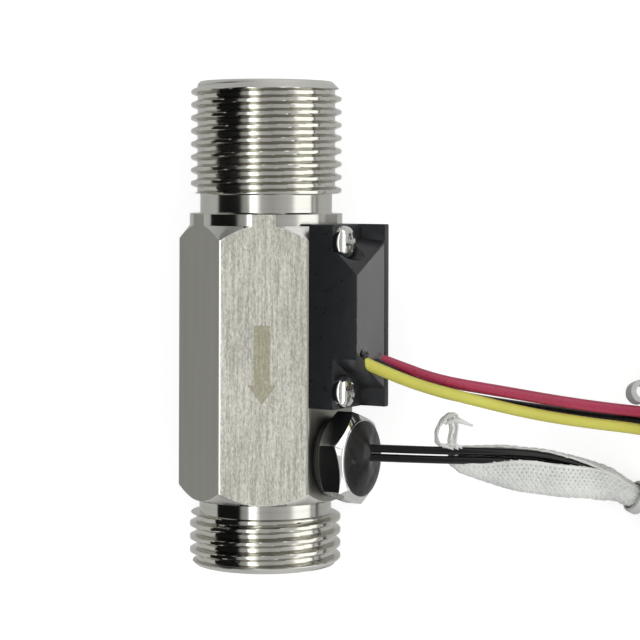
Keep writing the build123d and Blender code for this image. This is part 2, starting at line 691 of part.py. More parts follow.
def coil_heights(turns, pitch, diameter):
    """Lowest and highest lead centre in a coil that lies on its tie."""
    low = TIE_THICKNESS + diameter / 2
    return low, low + turns * pitch


def coil_section(radius, leads, turns, pitch, diameter, extra=0.0):
    """Section of a coil's outer shape, standing upright at its mean radius."""
    width = leads * pitch
    height = turns * pitch + diameter
    corner = diameter / 2
    section = RectangleRounded(width + 2 * extra, height + 2 * extra, corner + extra)
    return Plane.XZ * Pos(radius, TIE_THICKNESS + height / 2) * section


def coil(centre, radius, leads, turns, pitch, diameter):
    """Closed outer shape of a neat coil."""
    section = coil_section(radius, leads, turns, pitch, diameter)
    return Pos(*centre) * revolve(section, Axis.Z)


def coil_tie(centre, radius, leads, turns, pitch, diameter, angle):
    """Cable tie round a coil, with its head on the outside."""
    band = coil_section(radius, leads, turns, pitch, diameter, TIE_THICKNESS)
    band -= coil_section(radius, leads, turns, pitch, diameter)
    loop = revolve(band, Axis.Z, revolution_arc=TIE_ARC)
    loop = Rot(0, 0, -TIE_ARC / 2) * loop
    outer = radius + leads * pitch / 2 + TIE_THICKNESS / 2
    head = Pos(outer, 0, TIE_THICKNESS) * Box(*TIE_HEAD, align=(Align.MIN, Align.CENTER, Align.MIN))
    return Pos(*centre) * Rot(0, 0, angle) * (loop + head)


HALL_COIL = (HALL_COIL_CENTRE, HALL_COIL_RADIUS, 3, HALL_TURNS, HALL_LEAD_PITCH, HALL_LEAD_DIAMETER)
NTC_COIL = (NTC_COIL_CENTRE, NTC_COIL_RADIUS, 2, NTC_TURNS, NTC_LEAD_PITCH, NTC_LEAD_DIAMETER)


def hall_tail(name, number):
    """End of a Hall lead, from the bottom of its coil into the plug housing."""
    low, _ = coil_heights(HALL_TURNS, HALL_LEAD_PITCH, HALL_LEAD_DIAMETER)
    x = HALL_COIL_CENTRE[0] + HALL_COIL_RADIUS + (number - 1) * (HALL_LEAD_PITCH - COIL_EASE)
    way_x = HALL_COIL_CENTRE[0] + HALL_COIL_RADIUS + (number - 1) * PLUG_WAY_PITCH
    points = [
        (x, 1.0, low + COIL_EASE),
        (x, 8.0, low + 2 * COIL_EASE),
        (way_x, 14.0, CAVITY_HEIGHT),
        (way_x, HALL_PLUG_Y + WIRE_ENTRY, CAVITY_HEIGHT),
    ]
    return tube(name, points, HALL_LEAD_DIAMETER / 2)


def ntc_tail(name, side):
    """End of a thin lead, from the top of its coil into the plug housing."""
    _, high = coil_heights(NTC_TURNS, NTC_LEAD_PITCH, NTC_LEAD_DIAMETER)
    y = NTC_COIL_CENTRE[1] + NTC_COIL_RADIUS + side * (NTC_LEAD_PITCH - COIL_EASE) / 2
    way_y = NTC_COIL_CENTRE[1] + NTC_COIL_RADIUS + side * PLUG_WAY_PITCH / 2
    points = [
        (NTC_COIL_CENTRE[0] + 1.0, y, high - COIL_EASE),
        (NTC_COIL_CENTRE[0] + 5.5, y, high - 2 * COIL_EASE),
        (NTC_COIL_CENTRE[0] + 12.0, way_y, CAVITY_HEIGHT),
        (NTC_PLUG_X + WIRE_ENTRY, way_y, CAVITY_HEIGHT),
    ]
    return tube(name, points, NTC_LEAD_DIAMETER / 2)


def moved(points, y):
    """A route shifted sideways."""
    return [(point[0], point[1] + y, point[2]) for point in points]


def plug_housing(ways):
    """Crimp-contact plug housing, wires entering at Y = 0, lying on its flat side."""
    width = (ways - 1) * PLUG_WAY_PITCH + 2 * PLUG_SIDE
    body = Pos(0, 0, 0) * Box(width, PLUG_LENGTH, PLUG_HEIGHT, align=(Align.CENTER, Align.MIN, Align.MIN))
    body = chamfer(body.edges().group_by(Axis.Z)[-1], PLUG_RIB / 2)
    for number in range(ways):
        x = (number - (ways - 1) / 2) * PLUG_WAY_PITCH
        cavity = Box(CAVITY, PLUG_LENGTH + 2 * SPACE, CAVITY, align=(Align.CENTER, Align.MIN, Align.CENTER))
        body -= Pos(x, -SPACE, CAVITY_HEIGHT) * cavity
    for side in (-1, 1):
        x = side * (width / 2 - PLUG_SIDE / 2)
        rib = Box(PLUG_RIB * 2, PLUG_LENGTH / 2, PLUG_RIB, align=(Align.CENTER, Align.MIN, Align.MIN))
        body += Pos(x, PLUG_LENGTH / 2 - PLUG_RIB, PLUG_HEIGHT) * rib
    return body


def plug_contacts(ways):
    """Crimp contacts in the plug housing, each a square sleeve that meets its lead."""
    contacts = []
    for number in range(ways):
        x = (number - (ways - 1) / 2) * PLUG_WAY_PITCH
        sleeve = Box(CONTACT, CONTACT_LENGTH, CONTACT)
        hollow = CONTACT - 2 * CONTACT_WALL
        sleeve -= Pos(0, CONTACT_WALL, 0) * Box(hollow, CONTACT_LENGTH, hollow)
        middle = WIRE_ENTRY + CONTACT_LENGTH / 2
        contacts.append(Pos(x, middle, CAVITY_HEIGHT) * sleeve)
    return contacts


def hall_plug_place():
    """Where the three-way plug housing lies, beside its coil."""
    return Pos(HALL_COIL_CENTRE[0] + HALL_COIL_RADIUS, HALL_PLUG_Y, 0)


def ntc_plug_place():
    """Where the two-way plug housing lies, beyond its coil."""
    return Pos(NTC_PLUG_X, NTC_COIL_CENTRE[1] + NTC_COIL_RADIUS, 0) * Rot(0, 0, -90)


def sleeve_tie():
    """Cable tie round the sleeve, square to its run."""
    before = Vector(*NTC_ROUTE[-4])
    along = Vector(*NTC_ROUTE[-3]) - before
    inside = SLEEVE_RADIUS + PIECE_GAP
    band = Circle(inside + TIE_THICKNESS) - Circle(inside)
    loop = Pos(0, 0, -SLEEVE_TIE_WIDTH / 2) * extrude(band, SLEEVE_TIE_WIDTH)
    head = Box(TIE_HEAD[0], TIE_HEAD[1], TIE_HEAD[2], align=(Align.MIN, Align.CENTER, Align.CENTER))
    head = Pos(inside + TIE_THICKNESS / 2, 0, 0) * head
    plane = Plane(origin=before + along * SLEEVE_TIE_SHARE, x_dir=(0.3, 1, 0), z_dir=along)
    return plane * (loop + head)


def lead_tie():
    """Cable tie round the three leads, its tail curled back beside them."""
    outer = RectangleRounded(
        2 * (LEAD_TIE_HALF_WIDTH + TIE_THICKNESS),
        2 * (LEAD_TIE_HALF_HEIGHT + TIE_THICKNESS),
        LEAD_TIE_HALF_HEIGHT,
    )
    inner = RectangleRounded(
        2 * LEAD_TIE_HALF_WIDTH,
        2 * LEAD_TIE_HALF_HEIGHT,
        LEAD_TIE_HALF_HEIGHT - TIE_THICKNESS,
    )
    loop = Pos(-LEAD_TIE_WIDTH / 2, 0, 0) * extrude(Plane.YZ * (outer - inner), LEAD_TIE_WIDTH)
    side = LEAD_TIE_HALF_WIDTH + TIE_THICKNESS / 2
    head = Pos(0, side, 0) * Box(*TIE_HEAD, align=(Align.CENTER, Align.MIN, Align.CENTER))
    curl = Circle(TAIL_CURL_RADIUS + TIE_THICKNESS) - Circle(TAIL_CURL_RADIUS)
    reach = 2 * TAIL_CURL_RADIUS
    curl -= Pos(reach / 2, -reach / 2) * Rectangle(reach, reach)
    tail = Pos(0, 0, -LEAD_TIE_WIDTH / 2) * extrude(curl, LEAD_TIE_WIDTH)
    tail_x = -TIE_HEAD[0] / 2 - TAIL_CURL_RADIUS
    tail = Pos(tail_x, side + TIE_HEAD[1] / 2, 0) * tail
    return Pos(*LEAD_TIE_PLACE) * (loop + head + tail)


def leads():
    """The five lead tubes, from inside the resin to their coils and on to their plugs."""
    hall_coil = coil(*HALL_COIL)
    ntc_coil = coil(*NTC_COIL)
    radius = HALL_LEAD_DIAMETER / 2
    found = {"hall_coil": hall_coil, "ntc_coil": ntc_coil}
    routes = {"hall_lead_red": RED_ROUTE, "hall_lead_black": BLACK_ROUTE, "hall_lead_yellow": YELLOW_ROUTE}
    for number, (name, route) in enumerate(routes.items()):
        run = tube(name, route, radius)
        found[name] = [run - hall_coil, hall_tail(name + " tail", number) - hall_coil]
    for name, side in (("ntc_lead_a", 1), ("ntc_lead_b", -1)):
        run = tube(name, moved(NTC_ROUTE, side * NTC_LEAD_PITCH / 2), NTC_LEAD_DIAMETER / 2)
        found[name] = [run - ntc_coil, ntc_tail(name + " tail", side) - ntc_coil]
    return found


def ntc_sleeve():
    """Braided sleeve as a plain hollow tube round the two thin leads."""
    points = [Vector(*point) for point in NTC_ROUTE]
    start = points[1] + (points[2] - points[1]) * SLEEVE_START
    end = points[-4] + (points[-3] - points[-4]) * SLEEVE_END
    route = [tuple(start), *NTC_ROUTE[2:-3], tuple(end)]
    outer = tube("ntc_sleeve", route, SLEEVE_RADIUS)
    inner = tube("ntc_sleeve inside", route, SLEEVE_RADIUS - SLEEVE_WALL)
    return outer - inner


def group(pieces):
    """Several separate solids as one shape."""
    solids = []
    for piece in pieces:
        solids.extend(piece.solids())
    return Compound(children=solids)


def build():
    """Every piece by its node's name."""
    nodes = {
        "hex_body": hex_body(),
        "flow_guide": flow_guide(),
        "guide_circlip": guide_circlip(),
        "front_bush": bush(GUIDE_SEAT, -1),
        "rear_bush": bush(SUPPORT_TOP, 1),
        "rear_support": rear_support(),
        "rotor": rotor(),
        "rotor_magnet": rotor_magnet(),
        "rotor_shaft": rotor_shaft(),
        "housing_screws": group(housing_screws()),
        "hall_board": hall_board(),
        "hall_chip": hall_chip(),
        "probe_plug": probe_plug(),
        "plug_seal": plug_seal(),
        "probe_tube": probe_tube(),
        "thermistor": thermistor(),
        "ntc_sleeve": ntc_sleeve(),
        "sleeve_tie": sleeve_tie(),
        "lead_tie": lead_tie(),
        "hall_coil_tie": coil_tie(*HALL_COIL, 135),
        "ntc_coil_tie": coil_tie(*NTC_COIL, -60),
        "hall_connector": hall_plug_place() * plug_housing(3),
        "hall_contacts": group([hall_plug_place() * piece for piece in plug_contacts(3)]),
        "ntc_connector": ntc_plug_place() * plug_housing(2),
        "ntc_contacts": group([ntc_plug_place() * piece for piece in plug_contacts(2)]),
    }
    soft = leads()
    housing = hall_housing()
    potting = potting_space() - nodes["hall_chip"] - nodes["hall_board"]
    resin = plug_resin()
    for name, piece in soft.items():
        if name.startswith("hall_lead"):
            housing -= piece[0]
            potting -= piece[0]
        if name.startswith("ntc_lead"):
            resin -= piece[0]
        nodes[name] = group(piece) if isinstance(piece, list) else piece
    nodes["hall_housing"] = housing
    nodes["hall_potting"] = potting
    nodes["plug_resin"] = resin
    return nodes


os.makedirs("parts", exist_ok=True)
for node, shape in build().items():
    export_step(shape, f"parts/{node}.step")
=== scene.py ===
import bmesh
import bpy
import json
import math
import random
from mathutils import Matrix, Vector, noise

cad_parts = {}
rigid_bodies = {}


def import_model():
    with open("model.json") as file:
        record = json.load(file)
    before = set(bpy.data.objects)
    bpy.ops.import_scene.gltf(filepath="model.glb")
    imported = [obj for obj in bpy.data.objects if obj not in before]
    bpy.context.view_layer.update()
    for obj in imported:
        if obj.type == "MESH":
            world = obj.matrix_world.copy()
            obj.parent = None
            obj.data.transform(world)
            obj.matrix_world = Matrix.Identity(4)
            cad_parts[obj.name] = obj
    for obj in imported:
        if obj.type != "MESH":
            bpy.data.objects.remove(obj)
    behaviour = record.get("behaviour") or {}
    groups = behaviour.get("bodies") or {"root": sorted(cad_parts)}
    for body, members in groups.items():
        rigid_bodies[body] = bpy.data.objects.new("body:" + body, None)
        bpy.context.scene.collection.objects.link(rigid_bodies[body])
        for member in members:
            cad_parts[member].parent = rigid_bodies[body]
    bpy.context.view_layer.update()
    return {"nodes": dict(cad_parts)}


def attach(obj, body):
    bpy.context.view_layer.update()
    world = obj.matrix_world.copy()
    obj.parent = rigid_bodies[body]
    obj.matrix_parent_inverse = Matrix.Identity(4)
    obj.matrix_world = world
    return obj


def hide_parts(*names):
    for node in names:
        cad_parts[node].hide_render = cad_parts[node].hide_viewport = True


for leftover in list(bpy.data.objects):
    bpy.data.objects.remove(leftover)
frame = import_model()

# Camera
# It looks straight down on the part from 31 cm above the bench. The foot of its axis is
# beside the inlet, so the picture is shifted down to take the whole body in.
def put_in_scene(name, data):
    """New object of the scene."""
    piece = bpy.data.objects.new(name, data)
    bpy.context.scene.collection.objects.link(piece)
    return piece


photo_camera = bpy.data.cameras.new("photo_camera")
photo_camera.sensor_fit = "HORIZONTAL"
photo_camera.sensor_width = 36.0
photo_camera.lens = 120.9
photo_camera.shift_x = -0.0078
photo_camera.shift_y = -0.2156
photo_camera.clip_start = 0.01
photo_camera.clip_end = 20.0
camera_stand = put_in_scene("photo_camera", photo_camera)
camera_stand.location = (0.00818, 0.0250, 0.3098)
camera_stand.rotation_euler = (0, 0, math.radians(0.17))
bpy.context.scene.camera = camera_stand


# Sensor leads
# Three stranded leads in coloured PVC, 1.6 mm thick. They come out of the resin in the
# housing, hang to a tied coil beside the part, and end in a three-way plug.
YELLOW_ROUTE = [
    (0.0125, 0.0013, 0.0219), (0.0189, -0.0018, 0.0209), (0.0275, -0.0044, 0.0170),
    (0.0370, -0.0070, 0.0130), (0.0455, -0.00855, 0.0101), (0.0505, -0.0092, 0.0090),
    (0.0550, -0.00995, 0.0085), (0.0625, -0.01085, 0.0082),
]
BLACK_ROUTE = [
    (0.0134, 0.0014, 0.0198), (0.0184, -0.0014, 0.0186), (0.0230, -0.0034, 0.0163),
    (0.0290, -0.0050, 0.0137), (0.0370, -0.0064, 0.0109), (0.0450, -0.00775, 0.0086),
    (0.0505, -0.0084, 0.0077), (0.0550, -0.00890, 0.0077), (0.0620, -0.0094, 0.0078),
]
RED_ROUTE = [
    (0.0134, 0.0018, 0.0180), (0.0177, 0.00020, 0.0177), (0.0236, -0.0020, 0.0172),
    (0.0320, -0.0036, 0.0144), (0.0410, -0.0054, 0.0114), (0.0490, -0.00665, 0.0093),
    (0.0550, -0.0073, 0.00855), (0.0615, -0.00775, 0.0082),
]
HALL_LEAD = 0.0016
HALL_COIL = (0.0700, 0.0)
HALL_PLUG_X = 0.07965
PLUG_PITCH = 0.0025
COIL_STEPS = 16
CURVE_INSET = 0.981


def coil_points(centre, radius, start, turns, heights):
    """Points whose smooth curve is a neat coil, with its turns one on the other."""
    steps = round(abs(turns) * COIL_STEPS)
    reach = radius / CURVE_INSET
    points = []
    for step in range(steps + 1):
        angle = math.radians(start + 360 * turns * step / steps)
        x, y = centre[0] + reach * math.cos(angle), centre[1] + reach * math.sin(angle)
        points.append((x, y, heights[0] + (heights[1] - heights[0]) * step / steps))
    return points


def round_line(name, thickness, roundness):
    """Empty curve object for round strands with closed ends."""
    line = bpy.data.curves.new(name, "CURVE")
    line.dimensions = "3D"
    line.bevel_depth = thickness / 2
    line.bevel_resolution = roundness
    line.use_fill_caps = True
    return put_in_scene(name, line)


def add_strand(piece, points, fineness):
    """One smooth strand near the points, which are in metres."""
    spline = piece.data.splines.new("NURBS")
    spline.points.add(len(points) - 1)
    for spot, point in zip(spline.points, points):
        spot.co = (*point, 1)
    spline.order_u = 3
    spline.use_endpoint_u = True
    spline.resolution_u = fineness


def lead(name, points, diameter):
    """Round lead along a smooth line near the points."""
    piece = round_line(name, diameter, 5)
    add_strand(piece, points, 6)
    return piece


def stands_for(piece, node, body="sensor"):
    """Carries the piece on its body, in place of the CAD node."""
    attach(piece, body)
    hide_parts(node)


def paint(name, color, roughness, metallic=0.0):
    """New material with its Principled shader."""
    material = bpy.data.materials.new(name)
    material.use_nodes = True
    shader = material.node_tree.nodes["Principled BSDF"]
    shader.inputs["Base Color"].default_value = (*color, 1)
    shader.inputs["Roughness"].default_value = roughness
    shader.inputs["Metallic"].default_value = metallic
    return material, material.node_tree, shader


def new_group(name, inputs, outputs):
    """Shader node group with number inputs and number outputs."""
    group = bpy.data.node_groups.new(name, "ShaderNodeTree")
    for title, value in inputs:
        socket = group.interface.new_socket(title, in_out="INPUT", socket_type="NodeSocketFloat")
        socket.default_value = value
    for title in outputs:
        group.interface.new_socket(title, in_out="OUTPUT", socket_type="NodeSocketFloat")
    return group, group.nodes.new("NodeGroupInput"), group.nodes.new("NodeGroupOutput")


def add_node(tree, kind, inputs=(), **settings):
    """Shader node whose inputs are set to values or linked to sockets."""
    node = tree.nodes.new("ShaderNode" + kind)
    for setting, value in settings.items():
        setattr(node, setting, value)
    for title, value in dict(inputs).items():
        if isinstance(value, bpy.types.NodeSocket):
            tree.links.new(value, node.inputs[title])
        else:
            node.inputs[title].default_value = value
    return node


def math_node(tree, operation, first, second=0.0):
    """Result of one sum on sockets or numbers."""
    return add_node(tree, "Math", {0: first, 1: second}, operation=operation).outputs[0]


def product(tree, first, *others):
    """Product of sockets and numbers."""
    for other in others:
        first = math_node(tree, "MULTIPLY", first, other)
    return first


def mapped(tree, value, from_low, from_high, to_low=0.0, to_high=1.0):
    """A value carried over from one range to another, and held at its ends."""
    ends = {"From Min": from_low, "From Max": from_high, "To Min": to_low, "To Max": to_high}
    return add_node(tree, "MapRange", {"Value": value, **ends}).outputs["Result"]


mottle, mottle_in, mottle_out = new_group("mottle", [("Scale", 900.0)], ["Fine", "Broad"])
mottle_place = add_node(mottle, "TexCoord").outputs["Object"]
for title, factor in (("Fine", 1.0), ("Broad", 0.12)):
    scale = product(mottle, mottle_in.outputs["Scale"], factor)
    grain = add_node(mottle, "TexNoise", {"Vector": mottle_place, "Scale": scale, "Detail": 4.0})
    mottle.links.new(mapped(mottle, grain.outputs["Fac"], 0.3, 0.7), mottle_out.inputs[title])


def place_mottle(tree, scale):
    """The mottle group in a material."""
    return add_node(tree, "Group", {"Scale": scale}, node_tree=mottle)


def blend_colors(tree, mask, first, second, shader=None):
    """Colour that goes over a mask from first, a colour or a socket, to second."""
    base = first if isinstance(first, bpy.types.NodeSocket) else (*first, 1)
    mix = add_node(tree, "Mix", {"Factor": mask, "A": base, "B": (*second, 1)}, data_type="RGBA")
    if shader:
        tree.links.new(mix.outputs["Result"], shader.inputs["Base Color"])
    return mix.outputs["Result"]


def span(tree, mask, low, high, shader, socket="Roughness"):
    """A mask turned into values from low to high for one socket of the shader."""
    tree.links.new(mapped(tree, mask, 0.0, 1.0, low, high), shader.inputs[socket])


def bump(tree, height, distance, shader):
    """Bump from a height mask, its depth in metres."""
    node = add_node(tree, "Bump", {"Height": height, "Distance": distance})
    tree.links.new(node.outputs["Normal"], shader.inputs["Normal"])


def mottled(name, scale, tones, gloss, depth, masks=("Broad", "Fine", "Fine"), metallic=0.0, level=0.5):
    """Material whose tone, roughness and surface vary over the mottle's masks."""
    material, tree, shader = paint(name, tones[0], gloss[0], metallic)
    shader.inputs["Specular IOR Level"].default_value = level
    marks = place_mottle(tree, scale)
    tone_mask, gloss_mask, depth_mask = (marks.outputs[mask] for mask in masks)
    blend_colors(tree, tone_mask, *tones, shader)
    span(tree, gloss_mask, *gloss, shader)
    if depth:
        bump(tree, depth_mask, depth, shader)
    return material


def pvc(name, color, dirt, roughness, level):
    """PVC lead skin: slightly uneven gloss, with faint grime in its colour."""
    gloss = (roughness - 0.05, roughness + 0.1)
    return mottled(name, 1400.0, (color, dirt), gloss, 0.000004, level=level)


# Route, radius and top of the coil, way in the plug, colour, grime, roughness, specular level.
hall_colors = {
    "yellow": (YELLOW_ROUTE, 0.0113, 0.0081, 2, (0.56, 0.54, 0.09), (0.50, 0.47, 0.07), 0.42, 0.45),
    "black": (BLACK_ROUTE, 0.00965, 0.00795, 1, (0.008, 0.008, 0.008), (0.014, 0.013, 0.012), 0.26, 0.2),
    "red": (RED_ROUTE, 0.0080, 0.00805, 0, (0.37, 0.022, 0.07), (0.31, 0.016, 0.052), 0.30, 0.45),
}
for color, (route, radius, top, way, tint, dirt, roughness, level) in hall_colors.items():
    wound = coil_points(HALL_COIL, radius, -90, 4.25, (top, 0.0013))
    close_x = HALL_PLUG_X + (way - 1) * 0.0015
    way_x = HALL_PLUG_X + (way - 1) * PLUG_PITCH
    tail = [(close_x, 0.0040, 0.00145), (close_x, 0.0080, 0.0016)]
    tail += [(way_x, 0.0140, 0.0029), (way_x, 0.0185, 0.0029)]
    piece = lead("hall_lead_" + color + "_skin", route + wound + tail, HALL_LEAD)
    piece.data.materials.append(pvc("pvc_" + color, tint, dirt, roughness, level))
    stands_for(piece, "hall_lead_" + color)
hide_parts("hall_coil")


# Probe leads
# Two thin black leads side by side. They rise from the resin in the plug, run through
# the braided sleeve, and are wound up beside it before their two-way plug.
NTC_ROUTE = [
    (0.0122, -0.0116, 0.0184), (0.0210, -0.0120, 0.0179), (0.0315, -0.0126, 0.0146),
    (0.0374, -0.0132, 0.0116), (0.0428, -0.0147, 0.0084), (0.0471, -0.0166, 0.0059),
    (0.0548, -0.0206, 0.0025), (0.0585, -0.0213, 0.0017),
]
NTC_LEAD = 0.0011
NTC_ASIDE = 0.000625
NTC_COIL = (0.0635, -0.0284)
NTC_PLUG_Y = -0.0214
ntc_black = pvc("pvc_thin_black", (0.004, 0.004, 0.004), (0.008, 0.008, 0.007), 0.16, 0.2)
for name, side, radius in (("a", 1, 0.00762), ("b", -1, 0.00638)):
    route = [(x, y + side * NTC_ASIDE, z) for x, y, z in NTC_ROUTE]
    wound = coil_points(NTC_COIL, radius, 90, -4.0, (0.0011, 0.0059))
    close_y = NTC_PLUG_Y + side * 0.00055
    way_y = NTC_PLUG_Y + side * PLUG_PITCH / 2
    tail = [(0.0660, close_y, 0.0059), (0.0690, close_y, 0.00575)]
    tail += [(0.0755, way_y, 0.0029), (0.0795, way_y, 0.0029)]
    piece = lead("ntc_lead_" + name + "_skin", route + wound + tail, NTC_LEAD)
    piece.data.materials.append(ntc_black)
    stands_for(piece, "ntc_lead_" + name)
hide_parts("ntc_coil")


# Pipe body
# Stainless hexagon bar, 21 mm across flats, turned down at both ends and threaded G1/2.
# Its top flat carries an etched arrow that shows the way the water runs.
FLATS = 10.5
BAR_CORNER = 12.07
COLLAR = 10.614
SHOULDER = 10.45
NECK = 9.16
CREST = 10.4775
THREAD_DEPTH = 0.90
THREAD_PITCH = 1.814
CREST_SHARE = 0.12
FLANK_SHARE = 0.24
THREAD_STEP = 0.10
INLET_CHAMFER, OUTLET_CHAMFER = 0.777, 0.985
WORN_FROM, WORN_TO, WORN_DEPTH = 28.4, 29.55, 0.03
AXIS = 10.5


def hexagon_reach(angle):
    """Distance from the axis to the bar's side, with its corners turned off and worn."""
    off = (angle + 30) % 60 - 30
    wear_and_edge_highlight = WORN_DEPTH * max(0, (abs(off) - WORN_FROM) / (WORN_TO - WORN_FROM)) ** 2
    return min(FLATS / math.cos(math.radians(off)) - wear_and_edge_highlight, BAR_CORNER)


def thread_reach(angle, along):
    """Radius of the right-hand pipe thread."""
    phase = (along / THREAD_PITCH - angle / 360 + 0.1) % 1
    slope = min(max((min(phase, 1 - phase) - CREST_SHARE) / FLANK_SHARE, 0), 1)
    dip = 0.45 * slope + 0.55 * slope * slope * (3 - 2 * slope)
    return CREST - THREAD_DEPTH * dip


def shade_smooth(data, sharp):
    """Smooth shading apart from edges over the sharp angle, in degrees."""
    data.polygons.foreach_set("use_smooth", [True] * len(data.polygons))
    data.set_sharp_from_angle(angle=math.radians(sharp))


def mesh_piece(name, points, faces, sharp=30.0):
    """Object from points in millimetres, smooth apart from edges over the sharp angle."""
    data = bpy.data.meshes.new(name)
    data.from_pydata([[0.001 * part for part in point] for point in points], [], faces)
    data.validate()
    shape = bmesh.new()
    shape.from_mesh(data)
    bmesh.ops.remove_doubles(shape, verts=shape.verts, dist=1e-7)
    bmesh.ops.recalc_face_normals(shape, faces=shape.faces)
    shape.to_mesh(data)
    shape.free()
    shade_smooth(data, sharp)
    return put_in_scene(name, data)


def ring_faces(rows, columns, closed_rows=False, capped=False, start=0):
    """Faces of a grid whose columns go round, with closed rows or capped ends if wanted."""
    faces = []
    for row in range(rows if closed_rows else rows - 1):
        above = (row + 1) % rows
        for column in range(columns):
            beside = (column + 1) % columns
            faces.append((row * columns + column, row * columns + beside,
                          above * columns + beside, above * columns + column))
    if capped:
        faces += [tuple(range(columns)), tuple(range((rows - 1) * columns, rows * columns))]
    return [tuple(start + corner for corner in face) for face in faces]


body_angles = {step * 2.5 for step in range(144)}
for corner in range(6):
    for off in (8.4, WORN_FROM, 29.0, WORN_TO):
        body_angles |= {(corner * 60 + off) % 360, (corner * 60 - off) % 360}
body_angles = sorted(body_angles)


def body_profile(angle):
    """Section of the body at one angle, as (radius, place along the axis)."""
    bar = hexagon_reach(angle)
    collar = min(COLLAR, bar)
    inlet_edge = 19.0 - max(bar - COLLAR, 0) / INLET_CHAMFER
    outlet_edge = -18.7 + max(bar - SHOULDER, 0) / OUTLET_CHAMFER
    section = [(6.2, -27.3), (6.7, -27.85), (6.8, -27.9), (9.6, -27.9), (9.68, -27.87)]
    along = -27.8
    while along < -20.85:
        section.append((min(thread_reach(angle, along), 9.70 + (along + 27.87)), along))
        along += THREAD_STEP
    section += [(CREST - 0.85, -20.82), (NECK + 0.1, -20.78), (NECK, -20.68), (NECK, -18.85)]
    section += [(NECK + 0.12, -18.7), (SHOULDER - 0.07, -18.7), (min(SHOULDER, bar), -18.66)]
    section += [(bar - 0.03, outlet_edge - 0.03), (bar, outlet_edge + 0.03)]
    section += [(bar, inlet_edge - 0.03), (bar - 0.03, inlet_edge + 0.03)]
    section += [(collar, 19.0), (collar, 20.58), (collar - 0.08, 20.65), (NECK + 0.12, 20.65)]
    section += [(NECK, 20.8), (NECK, 23.2), (NECK + 0.1, 23.33), (CREST - 0.85, 23.36)]
    along = 23.4
    while along < 38.86:
        section.append((min(thread_reach(angle, along), 9.21 + (38.91 - along)), along))
        along += THREAD_STEP
    section += [(9.19, 38.91), (9.1, 38.94), (8.3, 38.94), (8.2, 38.9), (7.75, 38.44)]
    section += [(7.75, 17.95), (8.25, 17.95), (8.25, 17.05), (7.75, 17.05), (7.75, 12.0)]
    section += [(7.1, 12.0), (7.1, -1.0), (6.2, -1.0)]
    return section


body_sections = [body_profile(angle) for angle in body_angles]
body_points = []
for row in range(len(body_sections[0])):
    for angle, section in zip(body_angles, body_sections):
        radius, along = section[row]
        turn = math.radians(angle)
        body_points.append((radius * math.sin(turn), along, AXIS + radius * math.cos(turn)))
body_faces = ring_faces(len(body_sections[0]), len(body_angles), closed_rows=True)
pipe_body = mesh_piece("pipe_body", body_points, body_faces, sharp=24.0)
stands_for(pipe_body, "hex_body")

lathe_inputs = [("Along", 0.0), ("Marks per mm", 9.0)]
lathe, lathe_in, lathe_out = new_group("lathe_marks", lathe_inputs, ["Height", "Tone"])
lathe_place = product(lathe, lathe_in.outputs["Along"], lathe_in.outputs["Marks per mm"])
for title, scale, detail in (("Height", 1000.0, 3.0), ("Tone", 160.0, 2.0)):
    inputs = {"W": lathe_place, "Scale": scale, "Detail": detail}
    marks = add_node(lathe, "TexNoise", inputs, noise_dimensions="1D")
    lathe.links.new(marks.outputs["Fac"], lathe_out.inputs[title])


def turned_steel(name, color, roughness, marks, depth):
    """Bright turned steel with fine lathe marks round the pipe axis."""
    material, tree, shader = paint(name, color, roughness, 1.0)
    place = add_node(tree, "TexCoord").outputs["Object"]
    along = add_node(tree, "SeparateXYZ", {0: place}).outputs["Y"]
    lines = add_node(tree, "Group", {"Along": along, "Marks per mm": marks}, node_tree=lathe)
    smear = place_mottle(tree, 500.0)
    span(tree, smear.outputs["Broad"], roughness - 0.04, roughness + 0.09, shader)
    blend_colors(tree, lines.outputs["Tone"], color, tuple(0.86 * part for part in color), shader)
    bump(tree, lines.outputs["Height"], depth, shader)
    return material


bright_steel = turned_steel("turned_steel", (0.53, 0.525, 0.485), 0.10, 9.0, 0.0000022)
thread_steel = turned_steel("threaded_steel", (0.56, 0.55, 0.50), 0.08, 5.0, 0.0000015)
bore_steel = turned_steel("bored_steel", (0.42, 0.41, 0.39), 0.30, 6.0, 0.000004)
satin_steel = turned_steel("satin_end_steel", (0.62, 0.615, 0.58), 0.36, 7.0, 0.000006)


def streaks(tree, place, stretch, detail, roughness):
    """Noise drawn out along the bar, as brushing and drawing leave it."""
    drawn = add_node(tree, "Mapping", {"Vector": place, "Scale": stretch}).outputs["Vector"]
    inputs = {"Vector": drawn, "Scale": 1.0, "Detail": detail, "Roughness": roughness}
    return add_node(tree, "TexNoise", inputs).outputs["Fac"]


def between(tree, value, low, high, soft):
    """Mask that is one between two values, with soft ends."""
    rise = mapped(tree, value, low - soft, low + soft)
    fall = mapped(tree, value, high + soft, high - soft)
    return product(tree, rise, fall)


ARROW_MIDDLE = -0.00023
ARROW_HALF_WIDTH = 0.00111
ARROW_TAIL = 0.00567
ARROW_NECK = -0.00233
ARROW_TIP = -0.00504
ARROW_FLARE = 0.727


